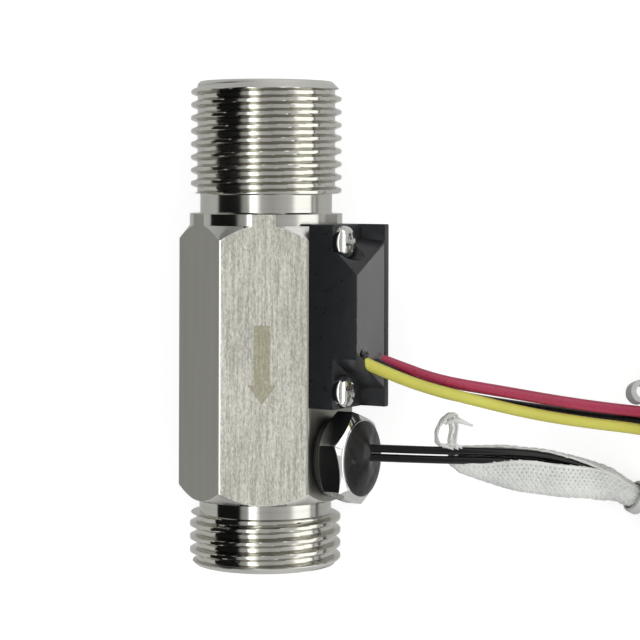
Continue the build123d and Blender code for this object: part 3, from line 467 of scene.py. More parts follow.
def brushed_flat(name):
    """Brushed steel of the top flat, with a painted highlight along its left edge and the etched arrow."""
    material, tree, shader = paint(name, (0.62, 0.61, 0.575), 0.4, 1.0)
    place = add_node(tree, "TexCoord").outputs["Object"]
    x, y, z = add_node(tree, "SeparateXYZ", {0: place}).outputs
    short = streaks(tree, place, (4600.0, 1900.0, 4600.0), 2.0, 0.65)
    long = streaks(tree, place, (2300.0, 150.0, 2300.0), 4.0, 0.65)
    brushing = mapped(tree, math_node(tree, "ADD", short, long), 0.76, 1.24)
    bump(tree, brushing, 0.00006, shader)
    span(tree, brushing, 0.50, 0.36, shader)
    aside = math_node(tree, "ABSOLUTE", math_node(tree, "ADD", x, -ARROW_MIDDLE))
    flared = product(tree, math_node(tree, "ADD", y, -ARROW_TIP), ARROW_FLARE)
    shaft_sides = between(tree, aside, -0.01, ARROW_HALF_WIDTH, 0.00012)
    shaft_ends = between(tree, y, ARROW_NECK - 0.00007, ARROW_TAIL, 0.00008)
    head_sides = between(tree, math_node(tree, "SUBTRACT", aside, flared), -0.02, 0.0, 0.00006)
    head_ends = between(tree, y, -0.0060, ARROW_NECK, 0.00006)
    shaft, head = product(tree, shaft_sides, shaft_ends), product(tree, head_sides, head_ends)
    top_only = between(tree, z, 0.0205, 0.022, 0.0001)
    patches = mapped(tree, place_mottle(tree, 2600.0).outputs["Fine"], 0.0, 1.0, 0.55, 1.0)
    arrow = product(tree, math_node(tree, "MAXIMUM", shaft, head), top_only, patches)
    # Painted highlight: a near-white band along the left edge of the top flat, where its rounded edge would
    # catch the light.
    wear_and_edge_highlight = product(tree, brushing, between(tree, x, -0.0063, -0.00572, 0.00012), 1.5)
    tone = blend_colors(tree, brushing, (0.385, 0.378, 0.332), (0.69, 0.68, 0.605))
    tone = blend_colors(tree, wear_and_edge_highlight, tone, (0.95, 0.94, 0.90))
    blend_colors(tree, arrow, tone, (0.34, 0.32, 0.215), shader)
    span(tree, arrow, 1.0, 0.45, shader, "Metallic")
    return material


brushed_steel = brushed_flat("brushed_flat_steel")
# The side flats are drawn steel, and partly painted shade: their tone is set well below the top flat's, as
# the shade these flats fall in, beyond their real finish.
drawn_steel_with_painted_shade, drawn_tree, drawn_shader = paint("drawn_flat_steel_painted_shade", (0.42, 0.415, 0.385), 0.40, 1.0)
drawn_place = add_node(drawn_tree, "TexCoord").outputs["Object"]
drawn_streaks = streaks(drawn_tree, drawn_place, (1700.0, 40.0, 1700.0), 4.0, 0.5)
blend_colors(drawn_tree, drawn_streaks, (0.27, 0.267, 0.238), (0.385, 0.381, 0.345), drawn_shader)
span(drawn_tree, drawn_streaks, 0.32, 0.48, drawn_shader)
bump(drawn_tree, drawn_streaks, 0.000008, drawn_shader)

body_steels = [bright_steel, thread_steel, bore_steel, brushed_steel, drawn_steel_with_painted_shade, satin_steel]
for steel in body_steels:
    pipe_body.data.materials.append(steel)
for face in pipe_body.data.polygons:
    middle = face.center
    out = math.hypot(middle.x, middle.z - AXIS / 1000) * 1000
    along = middle.y * 1000
    turn = math.degrees(math.atan2(middle.x, middle.z - AXIS / 1000))
    from_flat = abs((turn + 30) % 60 - 30)
    slanted = abs(face.normal.y) > 0.3
    on_bar_flat = abs(along) < 18.95 and out > 10.44 and from_flat < 29.4 and not slanted
    on_collar_flat = 18.9 < along < 20.6 and out > 10.3 and from_flat < 8.4
    if out < 8.27 and -27.5 < along < 38.5:
        steel = bore_steel
    elif -27.0 < along < -20.85 or 23.35 < along < 37.75:
        steel = thread_steel
    elif (on_bar_flat or on_collar_flat) and abs(turn) < 30:
        steel = bright_steel if from_flat > 28.9 else brushed_steel
    elif on_bar_flat or on_collar_flat:
        steel = drawn_steel_with_painted_shade
    elif along > 37.7 or along < -26.95 or (out > 10.7 and slanted):
        steel = satin_steel
    else:
        steel = bright_steel
    face.material_index = body_steels.index(steel)


# Sensor housing
# Moulded black plastic, screwed to the upper right flat. The block between its two
# screw pockets is a cup for the circuit board; a rim stands behind all three.
FACE_X, FACE_Z = 9.0933, 15.75
LEAN = 0.86603
TURNING = ("rotor", "rotor_magnet", "rotor_shaft")


def on_face(across, along, up):
    """Point on the sensor face: across it, along the pipe, and up from it, in mm."""
    return (FACE_X + 0.5 * across + LEAN * up, along, FACE_Z - LEAN * across + 0.5 * up)


def crisp_copy(name, node, ease, material):
    """Copy of a CAD solid in a finer material, with its hard edges slightly rounded."""
    data = frame["nodes"][node].data.copy()
    data.name = name
    data.materials.clear()
    shape = bmesh.new()
    shape.from_mesh(data)
    bmesh.ops.remove_doubles(shape, verts=shape.verts, dist=1e-7)
    bmesh.ops.dissolve_limit(shape, angle_limit=math.radians(1.0), verts=shape.verts, edges=shape.edges)
    hard = [
        edge for edge in shape.edges
        if len(edge.link_faces) == 2 and edge.calc_face_angle(0) > math.radians(30)
    ]
    bmesh.ops.bevel(shape, geom=hard, offset=ease, offset_type="OFFSET", segments=2, profile=0.6,
                    affect="EDGES", clamp_overlap=True)
    bmesh.ops.triangulate(shape, faces=[face for face in shape.faces if len(face.verts) > 4])
    shape.to_mesh(data)
    shape.free()
    shade_smooth(data, 28)
    data.materials.append(material)
    piece = put_in_scene(name, data)
    stands_for(piece, node, "turbine" if node in TURNING else "sensor")
    return piece


def moulded(name, color, roughness, texture, depth=0.000006, level=0.5):
    """Moulded plastic: satin, with a fine spark texture and slightly uneven gloss."""
    tones = [tuple(share * part for part in color) for share in (0.9, 1.1)]
    return mottled(name, texture, tones, (roughness - 0.06, roughness + 0.1), depth, level=level)


housing_plastic = moulded("housing_plastic", (0.018, 0.019, 0.021), 0.32, 900.0, 0.000002, 0.36)
crisp_copy("housing_shell", "hall_housing", 0.00010, housing_plastic)


# Resin in the housing
# Poured flush over the board, with a wavy edge where it wetted the near wall and a
# small pit where the yellow lead comes out, its hollow painted near-black as shade.
RESIN_NEAR, RESIN_FAR = -5.93, 1.72
RESIN_FOOT = 6.2
TORN = (-4.45, 1.0)
LEAD_MOUTHS = ((-3.35, 0.75, 0.95), (-1.0, 0.7, 0.85), (0.35, 1.2, 0.8))
ACROSS_STEPS, ALONG_STEPS = 44, 110


def resin_height(across, along, rim):
    """Height of the resin: sunk round the leads and torn beside the yellow one."""
    up = 7.335 + 0.025 * noise.noise((across * 0.5, along * 0.4, 0.0))
    up -= 0.06 * (1 - rim) ** 2
    for lead_across, lead_along, size in LEAD_MOUTHS:
        near = math.hypot(across - lead_across, along - lead_along)
        up -= 0.16 * math.exp(-(near / size) ** 2)
        up += 0.06 * math.exp(-((near - size) / 0.25) ** 2)
    torn = math.hypot(across - TORN[0], along - TORN[1])
    if torn < 2.0:
        crack = noise.noise((across * 1.8, along * 1.8, 9.0)) + 0.30 - 0.30 * torn
        up -= min(0.85, 3.2 * max(0, crack))
    return up


resin_points = []
for step in range(ACROSS_STEPS + 1):
    share = step / ACROSS_STEPS
    across = RESIN_NEAR + (RESIN_FAR - RESIN_NEAR) * share
    foot, head = 1.50 - 4.31 * share, 12.62 + 4.16 * share
    for place in range(ALONG_STEPS + 1):
        run = place / ALONG_STEPS
        along = foot + (head - foot) * run
        ragged = 0.17 * noise.noise((along * 0.8, 2.0, 0.0))
        ragged += 0.12 * noise.noise((along * 2.6, 5.0, 0.0))
        wetted = across + max(0, 1 - share / 0.10) * ragged
        rim = min(share / 0.012, (1 - share) / 0.012, run / 0.006, (1 - run) / 0.006, 1)
        resin_points.append(on_face(wetted, along, resin_height(across, along, rim)))
    inner = min(max(across, -5.1), 0.9)
    share = (inner + 5.15) / 6.1
    resin_points.append(on_face(inner, 12.165 + 3.32 * share, RESIN_FOOT))
    resin_points.append(on_face(inner, 1.926 - 3.436 * share, RESIN_FOOT))
resin_faces = ring_faces(ACROSS_STEPS + 1, ALONG_STEPS + 3, capped=True)
housing_resin = mesh_piece("housing_resin", resin_points, resin_faces, sharp=40.0)
stands_for(housing_resin, "hall_potting")

potting, potting_tree, potting_shader = paint("cast_resin", (0.105, 0.104, 0.105), 0.36)
potting_marks = place_mottle(potting_tree, 700.0).outputs["Broad"]
resin_color = blend_colors(potting_tree, potting_marks, (0.096, 0.095, 0.097), (0.126, 0.124, 0.125))
# Painted shade: a near-black patch with a ragged edge over the torn pit beside the yellow lead, standing
# for the shadow in the hollow.
pit_shade_place = add_node(potting_tree, "TexCoord").outputs["Object"]
pit_shade_middle = tuple(part / 1000 for part in on_face(*TORN, 7.3))
pit_shade_far = add_node(potting_tree, "VectorMath", {0: pit_shade_place, 1: pit_shade_middle}, operation="DISTANCE")
pit_shade_rough = add_node(potting_tree, "TexNoise", {"Vector": pit_shade_place, "Scale": 1300.0}).outputs["Fac"]
pit_shade_edge = product(potting_tree, pit_shade_rough, 0.0030)
pit_shade_edge = math_node(potting_tree, "ADD", pit_shade_edge, pit_shade_far.outputs["Value"])
pit_shade_mask = mapped(potting_tree, pit_shade_edge, 0.00310, 0.00285)
blend_colors(potting_tree, pit_shade_mask, resin_color, (0.008, 0.008, 0.008), potting_shader)
span(potting_tree, potting_marks, 0.30, 0.42, potting_shader)
bump(potting_tree, potting_marks, 0.00002, potting_shader)
housing_resin.data.materials.append(potting)


# Housing screws
# Two pan-head machine screws with a cross recess, bright plated, in the two pockets.
SCREW_ACROSS = -4.0
SCREW_PROFILE = [
    (0, 5.36), (0.7, 5.34), (1.3, 5.26), (1.75, 5.10), (2.05, 4.86), (2.2, 4.55), (2.25, 4.2),
    (2.22, 3.72), (1.25, 3.70), (1.25, -2.0), (1.1, -2.2), (0, -2.2),
]
CROSS_CORNERS = ((0.34, 1.42), (0.36, 0.36), (1.42, 0.34))


def round_on_face(radius, angle, across, along, up):
    """Point round a middle on the sensor face, at a radius and an angle in degrees."""
    turn = math.radians(angle)
    return on_face(across + radius * math.cos(turn), along + radius * math.sin(turn), up)


def stamped(target, tool):
    """Cuts the tool out of the target's mesh."""
    cut = target.modifiers.new("cut", "BOOLEAN")
    cut.object = tool
    cut.operation = "DIFFERENCE"
    cut.solver = "EXACT"
    bpy.context.view_layer.update()
    result = target.evaluated_get(bpy.context.evaluated_depsgraph_get())
    finished = bpy.data.meshes.new_from_object(result)
    target.modifiers.clear()
    target.data = finished
    bpy.data.objects.remove(tool)
    shade_smooth(finished, 35)


plated = mottled("plated_screw", 1800.0, ((0.70, 0.70, 0.68), (0.52, 0.51, 0.49)), (0.06, 0.16), 0.000001,
                 masks=("Fine", "Broad", "Fine"), metallic=1.0)
for number, (along, spin) in enumerate(((-3.1, 28), (16.9, -12))):
    points = []
    for radius, up in SCREW_PROFILE:
        points += [round_on_face(radius, step * 7.5, SCREW_ACROSS, along, up) for step in range(48)]
    screw = mesh_piece(f"housing_screw_{number}", points, ring_faces(len(SCREW_PROFILE), 48), sharp=35.0)
    outline = []
    for quarter in range(4):
        turn = math.radians(spin) + math.radians(90 * quarter)
        cosine, sine = math.cos(turn), math.sin(turn)
        outline += [(x * cosine + y * sine, y * cosine - x * sine) for x, y in CROSS_CORNERS]
    tool_points = []
    for up, share in ((5.7, 1.06), (4.0, 0.45)):
        tool_points += [on_face(SCREW_ACROSS + x * share, along + y * share, up) for x, y in outline]
    tool_faces = ring_faces(2, len(outline), capped=True)
    stamped(screw, mesh_piece("cross_tool", tool_points, tool_faces))
    screw.data.materials.clear()
    screw.data.materials.append(plated)
    stands_for(screw, "housing_screws")


# Probe plug
# Bright turned plug with a hexagon head, chamfered above to a thin lip. Its head is a
# cup full of dark resin, drawn up a little where the two thin leads come out.
PLUG_ALONG = -12.5
PLUG_TURN = 19.5
PLUG_CHAMFER = 0.65 / 1.224
RESIN_SIDES = 96
plug_angles = {step * 3.0 for step in range(120)}
plug_angles |= {60 * corner + off - PLUG_TURN for corner in range(1, 7) for off in (-0.8, 0.0, 0.8)}
plug_angles = sorted(plug_angles)


def plug_profile(angle):
    """Section of the plug at one angle, as (radius, height over the sensor face)."""
    off = (angle + PLUG_TURN + 30) % 60 - 30
    head = min(5.65 / math.cos(math.radians(30 - abs(off))), 6.47)
    top_edge = 4.75 - (head - 5.3) * PLUG_CHAMFER
    low_edge = 1.28 + (head - 5.65) * PLUG_CHAMFER
    return [
        (4.0, -4.2), (4.0, 1.20), (4.05, 1.28), (5.58, 1.28), (5.65, 1.30), (head - 0.02, low_edge),
        (head, low_edge + 0.05), (head, top_edge - 0.05), (head - 0.05, top_edge + 0.01), (5.40, 4.70),
        (5.32, 4.78), (5.28, 4.92), (5.22, 5.0), (5.08, 5.02), (4.95, 4.98), (4.86, 4.86), (4.8, 4.6),
        (4.8, 1.9), (1.6, 1.9), (1.6, -1.5), (2.0, -1.5), (2.0, -4.2),
    ]


plug_sections = [plug_profile(angle) for angle in plug_angles]
plug_points = []
for row in range(len(plug_sections[0])):
    for angle, section in zip(plug_angles, plug_sections):
        radius, up = section[row]
        plug_points.append(round_on_face(radius, angle, 0, PLUG_ALONG, up))
plug_faces = ring_faces(len(plug_sections[0]), len(plug_angles), closed_rows=True)
plug_body = mesh_piece("plug_body", plug_points, plug_faces, sharp=22.0)
stands_for(plug_body, "probe_plug")
polished = mottled("polished_plug", 900.0, ((0.68, 0.68, 0.67), (0.56, 0.55, 0.54)), (0.06, 0.20), 0.000003,
                   masks=("Broad", "Broad", "Fine"), metallic=1.0)
plug_body.data.materials.append(polished)

fill_foot = [(0.0, 2.0), (4.75, 2.0), (4.8, 4.5), (5.12, 4.7)]
fill_rings = [5.12, 5.03] + [4.88 * (1 - ring / 32) for ring in range(33)]
fill_points = []
for radius, up in fill_foot:
    for step in range(RESIN_SIDES):
        fill_points.append(round_on_face(radius, step * 360 / RESIN_SIDES, 0, PLUG_ALONG, up))
for radius in fill_rings:
    for step in range(RESIN_SIDES):
        turn = math.radians(step * 360 / RESIN_SIDES)
        x, y = radius * math.cos(turn), radius * math.sin(turn)
        up = 5.0 + 0.48 * math.sqrt(max(0, 1 - (radius / 5.15) ** 2))
        up += 0.05 * noise.noise((x * 0.8, y * 0.8, 3.0)) * min(1, (5.12 - radius) * 2)
        pull = math.hypot(x - 0.1, (y - 0.85) * 0.62)
        up += 0.42 * math.exp(-(pull / 0.9) ** 2) + 0.34 * math.exp(-(pull / 2.1) ** 2)
        up += 0.20 * math.exp(-(math.hypot(x + 3.3, y - 0.05) / 0.30) ** 2)
        fill_points.append(on_face(x, PLUG_ALONG + y, up))
fill_faces = ring_faces(len(fill_foot) + len(fill_rings), RESIN_SIDES)
plug_fill = mesh_piece("plug_fill", fill_points, fill_faces, sharp=50.0)
stands_for(plug_fill, "plug_resin")
dark_tones = ((0.005, 0.0045, 0.0045), (0.012, 0.011, 0.011))
glossy_resin = mottled("plug_resin_dark", 500.0, dark_tones, (0.20, 0.30), 0.00001,
                       masks=("Broad", "Broad", "Broad"), level=0.3)
plug_fill.data.materials.append(glossy_resin)

seal_rubber = moulded("seal_rubber", (0.010, 0.010, 0.010), 0.55, 1600.0)
crisp_copy("seal_ring", "plug_seal", 0.00012, seal_rubber)


# Turbine and what holds it
# White moulded guide and support, grey rotor with its ferrite ring, a ground steel
# shaft in two flanged bushes, and the spring ring that keeps the guide in.
for name, node, color, gloss in (
    ("guide_vanes", "flow_guide", (0.72, 0.71, 0.66), 0.42),
    ("support_spokes", "rear_support", (0.72, 0.71, 0.66), 0.42),
    ("turbine_wheel", "rotor", (0.60, 0.62, 0.64), 0.38),
    ("bush_front", "front_bush", (0.16, 0.14, 0.11), 0.35),
    ("bush_rear", "rear_bush", (0.16, 0.14, 0.11), 0.35),
):
    crisp_copy(name, node, 0.00006, moulded(name + "_plastic", color, gloss, 1500.0))
ferrite = moulded("ferrite", (0.055, 0.055, 0.058), 0.5, 3000.0, 0.00001)
crisp_copy("magnet_ring", "rotor_magnet", 0.00010, ferrite)
for name, node, tone in (
    ("shaft_pin", "rotor_shaft", 0.62),
    ("spring_ring", "guide_circlip", 0.40),
    ("probe_shell", "probe_tube", 0.58),
):
    ground_steel = turned_steel(name + "_steel", (tone, tone, 0.97 * tone), 0.22, 6.0, 0.000002)
    crisp_copy(name, node, 0.00005, ground_steel)
bead_glass = moulded("bead_glass", (0.30, 0.05, 0.03), 0.12, 900.0)
crisp_copy("glass_bead", "thermistor", 0.00003, bead_glass)


# Board and Hall chip
# A small green board lies on the black chip, both sunk in the housing's resin.
board_green = moulded("board_green", (0.015, 0.14, 0.05), 0.35, 2400.0)
chip_black = moulded("chip_black", (0.02, 0.02, 0.021), 0.5, 2600.0)
crisp_copy("sensor_board", "hall_board", 0.00008, board_green)
crisp_copy("sensor_chip", "hall_chip", 0.00008, chip_black)


# Braided sleeve
# White glass-yarn braid, slit along one side. It is spread flat under the two thin
# leads at its frayed mouth and drawn together at its tie.
SLEEVE_SECTIONS = [
    (25.4, -11.15, -13.65, 15.8, 0.70, -10, 75), (26.8, -11.2, -14.7, 15.15, 0.95, -6, 75),
    (29.4, -11.3, -15.7, 14.2, 1.30, -3, 75), (33.2, -11.4, -17.1, 12.75, 1.75, 16, 75),
    (36.5, -11.9, -17.95, 11.15, 1.85, 27, 74), (39.9, -12.5, -18.6, 9.55, 1.90, 27, 72),
    (43.0, -13.4, -19.1, 7.9, 1.80, 33, 68), (45.4, -14.2, -19.4, 6.5, 1.70, 40, 60),
    (47.4, -14.9, -19.75, 5.45, 1.65, 44, 48), (49.2, -15.7, -20.0, 4.6, 1.55, 44, 46),
    (50.9, -16.9, -20.7, 3.9, 1.60, 44, 46), (52.5, -18.0, -21.2, 3.3, 1.45, 44, 46),
    (54.0, -18.8, -21.6, 2.75, 1.35, 44, 46),
]
SLEEVE_LOW, SLEEVE_HIGH = SLEEVE_SECTIONS[0][0], SLEEVE_SECTIONS[-1][0]
YARNS = 16
YARN_LAY = 11.0
YARN_WIDE, YARN_THICK = 0.225, 0.12


def eased(values, share):
    """Smooth value between the middle two of four."""
    before, first, second, after = values
    slope_in, slope_out = (second - before) / 2, (after - first) / 2
    square, cube = share * share, share * share * share
    return ((2 * cube - 3 * square + 1) * first + (cube - 2 * square + share) * slope_in
            + (3 * square - 2 * cube) * second + (cube - square) * slope_out)


def sleeve_place(along, round_share):
    """Point of the sleeve's wall, from its front lip (0) under the leads to its back lip (1)."""
    index = 0
    while index < len(SLEEVE_SECTIONS) - 2 and along > SLEEVE_SECTIONS[index + 1][0]:
        index += 1
    last = len(SLEEVE_SECTIONS) - 1
    four = [SLEEVE_SECTIONS[min(max(index + step, 0), last)] for step in (-1, 0, 1, 2)]
    share = (along - four[1][0]) / (four[2][0] - four[1][0])
    back, low, middle, half, front_lip, back_lip = (
        eased([section[k] for section in four], share) for k in range(1, 7))
    turn = math.radians(front_lip - round_share * (360 - (back_lip - front_lip)))
    centre, reach = (back + low) / 2, (back - low) / 2
    wave = 0.07 * noise.noise((along * 0.35, 3 * round_share, 5.0))
    across = centre + (reach + wave) * math.sin(turn)
    return Vector((along, across, middle + (half + wave) * math.cos(turn)))


def sleeve_frame(along, round_share):
    """Point and outward direction of the sleeve's wall."""
    here = sleeve_place(along, round_share)
    ahead = sleeve_place(along + 0.05, round_share) - here
    around = sleeve_place(along, round_share + 0.01) - here
    out = around.cross(ahead)
    if out.length < 1e-9:
        return here, Vector((0, 0, 1))
    return here, out.normalized()


def tube_along(points, outs, wide, thick, sides, mesh_points, mesh_faces):
    """Adds a closed flat strand along the points to the lists of points and faces."""
    mesh_faces += ring_faces(len(points), sides, capped=True, start=len(mesh_points))
    last_index = len(points) - 1
    for index, (point, out) in enumerate(zip(points, outs)):
        ahead = points[min(index + 1, last_index)] - points[max(index - 1, 0)]
        beside = out.cross(ahead).normalized()
        lift = ahead.cross(beside).normalized()
        slim = 0.6 if index in (0, last_index) else 1.0
        for step in range(sides):
            turn = 2 * math.pi * step / sides
            flat, high = slim * wide * math.cos(turn), slim * thick * math.sin(turn)
            mesh_points.append(point + beside * flat + lift * high)


draw = random.Random(7)
braid_points, braid_faces = [], []
sleeve_run = SLEEVE_HIGH - SLEEVE_LOW
crossings = math.ceil(sleeve_run / YARN_LAY * YARNS)
for lean, numbers in ((1, range(-crossings, YARNS + 1)), (-1, range(YARNS + crossings + 1))):
    for number in numbers:
        offset = (number + 0.5) / YARNS
        points, outs = [], []
        stray = draw.uniform(-0.35, 0.35)
        step = 0.0
        while step <= sleeve_run + 0.3:
            round_share = offset + lean * step / YARN_LAY
            if 0.0 <= round_share <= 1.0 and step <= sleeve_run + stray * 0.5:
                phase = (step * 2 / YARN_LAY * YARNS) + number
                along = SLEEVE_LOW + step + (stray if step < 0.4 and stray < 0 else 0)
                here, out = sleeve_frame(along, round_share)
                height = 0.12 * lean * math.cos(math.pi * phase)
                points.append(here + out * (height - 0.02 + 0.012 * stray))
                outs.append(out)
            step += YARN_LAY / YARNS / 4
        if len(points) > 4:
            tube_along(points, outs, YARN_WIDE, YARN_THICK, 6, braid_points, braid_faces)
for lip in (0.004, 0.994):
    points, outs = [], []
    for step in range(211):
        along = SLEEVE_LOW + 0.1 + (sleeve_run - 0.15) * step / 210
        here, out = sleeve_frame(along, lip)
        points.append(here + out * (0.01 + 0.10 * noise.noise((along * 1.6, 4 * lip, 2.0))))
        outs.append(out)
    tube_along(points, outs, 0.25, 0.21, 8, braid_points, braid_faces)
braid = mesh_piece("sleeve_braid", braid_points, braid_faces, sharp=80.0)

glass_yarn = mottled("glass_yarn", 1500.0, ((0.56, 0.57, 0.545), (0.72, 0.73, 0.70)), (0.42, 0.62), 0.00003)
glass_yarn.node_tree.nodes["Principled BSDF"].inputs["Sheen Weight"].default_value = 0.15
braid.data.materials.append(glass_yarn)

liner_points = []
liner_rows, liner_columns = 90, 48
lining = [(-0.13, column) for column in range(liner_columns)]
lining += [(-0.21, column) for column in reversed(range(liner_columns))]
for row in range(liner_rows):
    along = SLEEVE_LOW + 0.25 + (sleeve_run - 0.35) * row / (liner_rows - 1)
    for deep, column in lining:
        here, out = sleeve_frame(along, 0.006 + 0.988 * column / (liner_columns - 1))
        liner_points.append(here + out * deep)
liner_faces = ring_faces(liner_rows, len(lining))
for end in (0, len(liner_points) - len(lining)):
    for outer in range(end, end + liner_columns - 1):
        inner = 2 * end + len(lining) - 1 - outer
        liner_faces.append((outer, outer + 1, inner - 1, inner))
liner = mesh_piece("sleeve_liner", liner_points, liner_faces, sharp=60.0)
# Painted shade: the lining is the same white glass yarn painted darker, standing for the shade inside the
# sleeve seen between the yarns.
shaded_inner_yarn = mottled("shaded_inner_yarn", 1500.0, ((0.36, 0.37, 0.355), (0.46, 0.47, 0.455)), (0.6, 0.8), 0,
                     masks=("Fine", "Broad", "Fine"))
liner.data.materials.append(shaded_inner_yarn)

THREADS = [
    [(26.2, -12.2, 16.3), (24.4, -11.2, 16.9), (23.5, -10.3, 17.1), (23.4, -9.1, 17.2), (23.8, -8.0, 17.2),
     (24.4, -7.1, 17.1), (25.2, -6.5, 17.1), (26.1, -6.6, 17.1), (26.3, -7.0, 17.0), (25.6, -7.2, 17.0),
     (24.9, -6.9, 17.2), (25.3, -7.6, 17.3), (25.6, -8.3, 17.2), (25.3, -9.4, 17.1), (25.2, -10.7, 16.9),
     (25.9, -12.0, 16.3)],
    [(26.6, -12.0, 16.3), (25.9, -10.9, 16.8), (26.0, -9.6, 17.0), (26.3, -8.3, 17.1), (25.9, -7.2, 17.2),
     (25.4, -6.8, 17.2), (25.1, -7.2, 17.2), (25.5, -8.2, 17.1), (25.5, -9.6, 17.0), (25.7, -10.9, 16.7),
     (26.4, -12.2, 16.2)],
    [(25.1, -6.9, 17.1), (26.2, -7.1, 17.3), (27.3, -7.7, 17.4), (28.4, -8.1, 17.3)],
    [(24.0, -8.1, 17.2), (24.5, -7.1, 17.5), (25.4, -6.6, 17.5), (26.0, -7.2, 17.5), (25.4, -7.9, 17.4)],
    [(24.6, -7.9, 17.4), (25.5, -7.3, 17.6), (26.7, -7.5, 17.6), (27.6, -7.9, 17.5)],
    [(25.7, -11.4, 16.8), (24.6, -10.9, 17.0), (23.7, -10.7, 17.0), (23.3, -10.2, 16.9)],
    [(26.9, -11.3, 16.3), (26.2, -10.7, 16.7), (25.0, -10.75, 16.9), (24.1, -11.2, 16.8),
     (23.9, -12.0, 16.5)],
]
threads = round_line("sleeve_threads", 0.00026, 2)
for ply in range(4):
    for thread in THREADS:
        strand = []
        for index, (x, y, z) in enumerate(thread):
            turn = 1.57 * ply + 0.9 * index
            spread = 0.20 if 0 < index < len(thread) - 1 else 0.05
            x, y = x + spread * math.cos(turn), y + spread * math.sin(turn)
            strand.append((x / 1000, y / 1000, (z + spread * math.sin(turn + 1)) / 1000))
        add_strand(threads, strand, 5)
for number in range(34):
    along = draw.uniform(SLEEVE_LOW + 5.0, SLEEVE_HIGH - 6.0)
    root = sleeve_place(along, draw.choice((0.0, 1.0, 1.0)))
    reach, lift, bow = draw.uniform(0.5, 1.3), draw.uniform(0.02, 0.34), draw.uniform(-0.10, 0.26)
    strand = []
    for share in (0, 1 / 3, 2 / 3, 1):
        run = reach * (share - 0.5)
        y, z = root.y - 0.42 * run + bow * share, root.z - 0.45 * run + lift * math.sin(math.pi * share)
        strand.append(((root.x + run) / 1000, y / 1000, z / 1000))
    add_strand(threads, strand, 4)
threads.data.materials.append(glass_yarn)
for part in (braid, liner, threads):
    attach(part, "sensor")
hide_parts("ntc_sleeve")
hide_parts("ntc_sleeve")


# Ties
# Natural nylon cable ties with a ratchet head: one draws the sleeve together, one holds
# the three leads, and one goes round each coil.
nylon = mottled("natural_nylon", 900.0, ((0.47, 0.48, 0.46), (0.58, 0.59, 0.565)), (0.32, 0.5), 0.000012)
ties = {}
for node in ("lead_tie", "hall_coil_tie", "ntc_coil_tie"):
    ties[node] = crisp_copy(node + "_nylon", node, 0.00008, nylon)

# The curled tail of the leads' tie is opened a little and leans as it rises.
TAIL_X, TAIL_Y, TAIL_Z = 0.0527, -0.00432, 0.0082
for point in ties["lead_tie"].data.vertices:
    if point.co.x < 0.0538 and point.co.y > -0.0060:
        reach = math.hypot(point.co.x - TAIL_X, point.co.y - TAIL_Y)
        grown = 1.05 if reach > 0.00135 else 0.85
        rise = point.co.z - TAIL_Z
        point.co.x = TAIL_X + (point.co.x - TAIL_X) * grown - 0.00018 + 0.20 * rise
        point.co.y = TAIL_Y + (point.co.y - TAIL_Y) * grown + 0.22 * rise

TIE_STEPS = 96
HEAD_TURN = math.radians(268)
tie_middle = Vector((52.8, -19.85, 3.35))
tie_side, tie_up = Vector((0.461, 0.887, 0.0)), Vector((0.324, -0.168, 0.930))
tie_along = Vector((0.826, -0.429, -0.365))
tie_points = []
for step in range(TIE_STEPS):
    turn = 2 * math.pi * step / TIE_STEPS
    tooth = 0.05 if step % 2 else 0.0
    for out, wide in (
        (0.0, -0.80), (0.0, 0.80), (0.34 - tooth, 0.72),
        (0.42 - tooth, 0.62), (0.42 - tooth, -0.62), (0.34 - tooth, -0.72),
    ):
        ring = tie_side * ((1.95 + out) * math.cos(turn)) + tie_up * ((1.72 + out) * math.sin(turn))
        tie_points.append(tie_middle + ring + tie_along * wide)
tie_faces = ring_faces(TIE_STEPS, 6, closed_rows=True)
head_side, head_rise = math.cos(HEAD_TURN), math.sin(HEAD_TURN)
head_out = tie_side * head_side + tie_up * head_rise
head_round = tie_along.cross(head_out).normalized()
head_middle = tie_middle + tie_side * (2.15 * head_side) + tie_up * (1.95 * head_rise) + head_out * 0.35
tie_faces += ring_faces(4, 4, capped=True, start=len(tie_points))
for out, slim in ((-0.55, 0.9), (-0.4, 1.0), (0.45, 1.0), (0.6, 0.86)):
    for a, b in ((-1, -1), (1, -1), (1, 1), (-1, 1)):
        corner = tie_along * (0.95 * slim * a) + head_round * (1.15 * slim * b)
        tie_points.append(head_middle + head_out * out + corner)
ties["sleeve_tie"] = mesh_piece("sleeve_tie_nylon", tie_points, tie_faces, sharp=32.0)
ties["sleeve_tie"].data.materials.append(nylon)
stands_for(ties["sleeve_tie"], "sleeve_tie")


# Plugs and contacts
# Crimp plugs in natural nylon, ribbed and with a latch bar, one three-way and one
# two-way. Each lead ends in a folded, tinned contact behind a square opening.
for node in ("hall_connector", "ntc_connector"):
    shell_nylon = moulded(node + "_nylon", (0.70, 0.69, 0.64), 0.36, 1700.0)
    crisp_copy(node + "_shell", node, 0.00010, shell_nylon)
tinned = mottled("tinned_contact", 2600.0, ((0.70, 0.69, 0.66), (0.55, 0.54, 0.51)), (0.18, 0.36), 0,
                 masks=("Fine", "Broad", "Fine"), metallic=1.0)


def contact_for(name, node, axis, low, high):
    """The one crimp contact of a plug that lies between two places along an axis."""
    contact = crisp_copy(name, node, 0.00003, tinned)
    shape = bmesh.new()
    shape.from_mesh(contact.data)
    others = [point for point in shape.verts if not low < point.co[axis] < high]
    bmesh.ops.delete(shape, geom=others, context="VERTS")
    shape.to_mesh(contact.data)
    shape.free()
    return contact


contacts = {
    "red": contact_for("contact_red", "hall_contacts", 0, 0.0760, 0.0784),
    "black": contact_for("contact_black", "hall_contacts", 0, 0.0784, 0.0809),
    "yellow": contact_for("contact_yellow", "hall_contacts", 0, 0.0809, 0.0834),
    "a": contact_for("contact_a", "ntc_contacts", 1, -0.0214, -0.0190),
    "b": contact_for("contact_b", "ntc_contacts", 1, -0.0238, -0.0214),
}


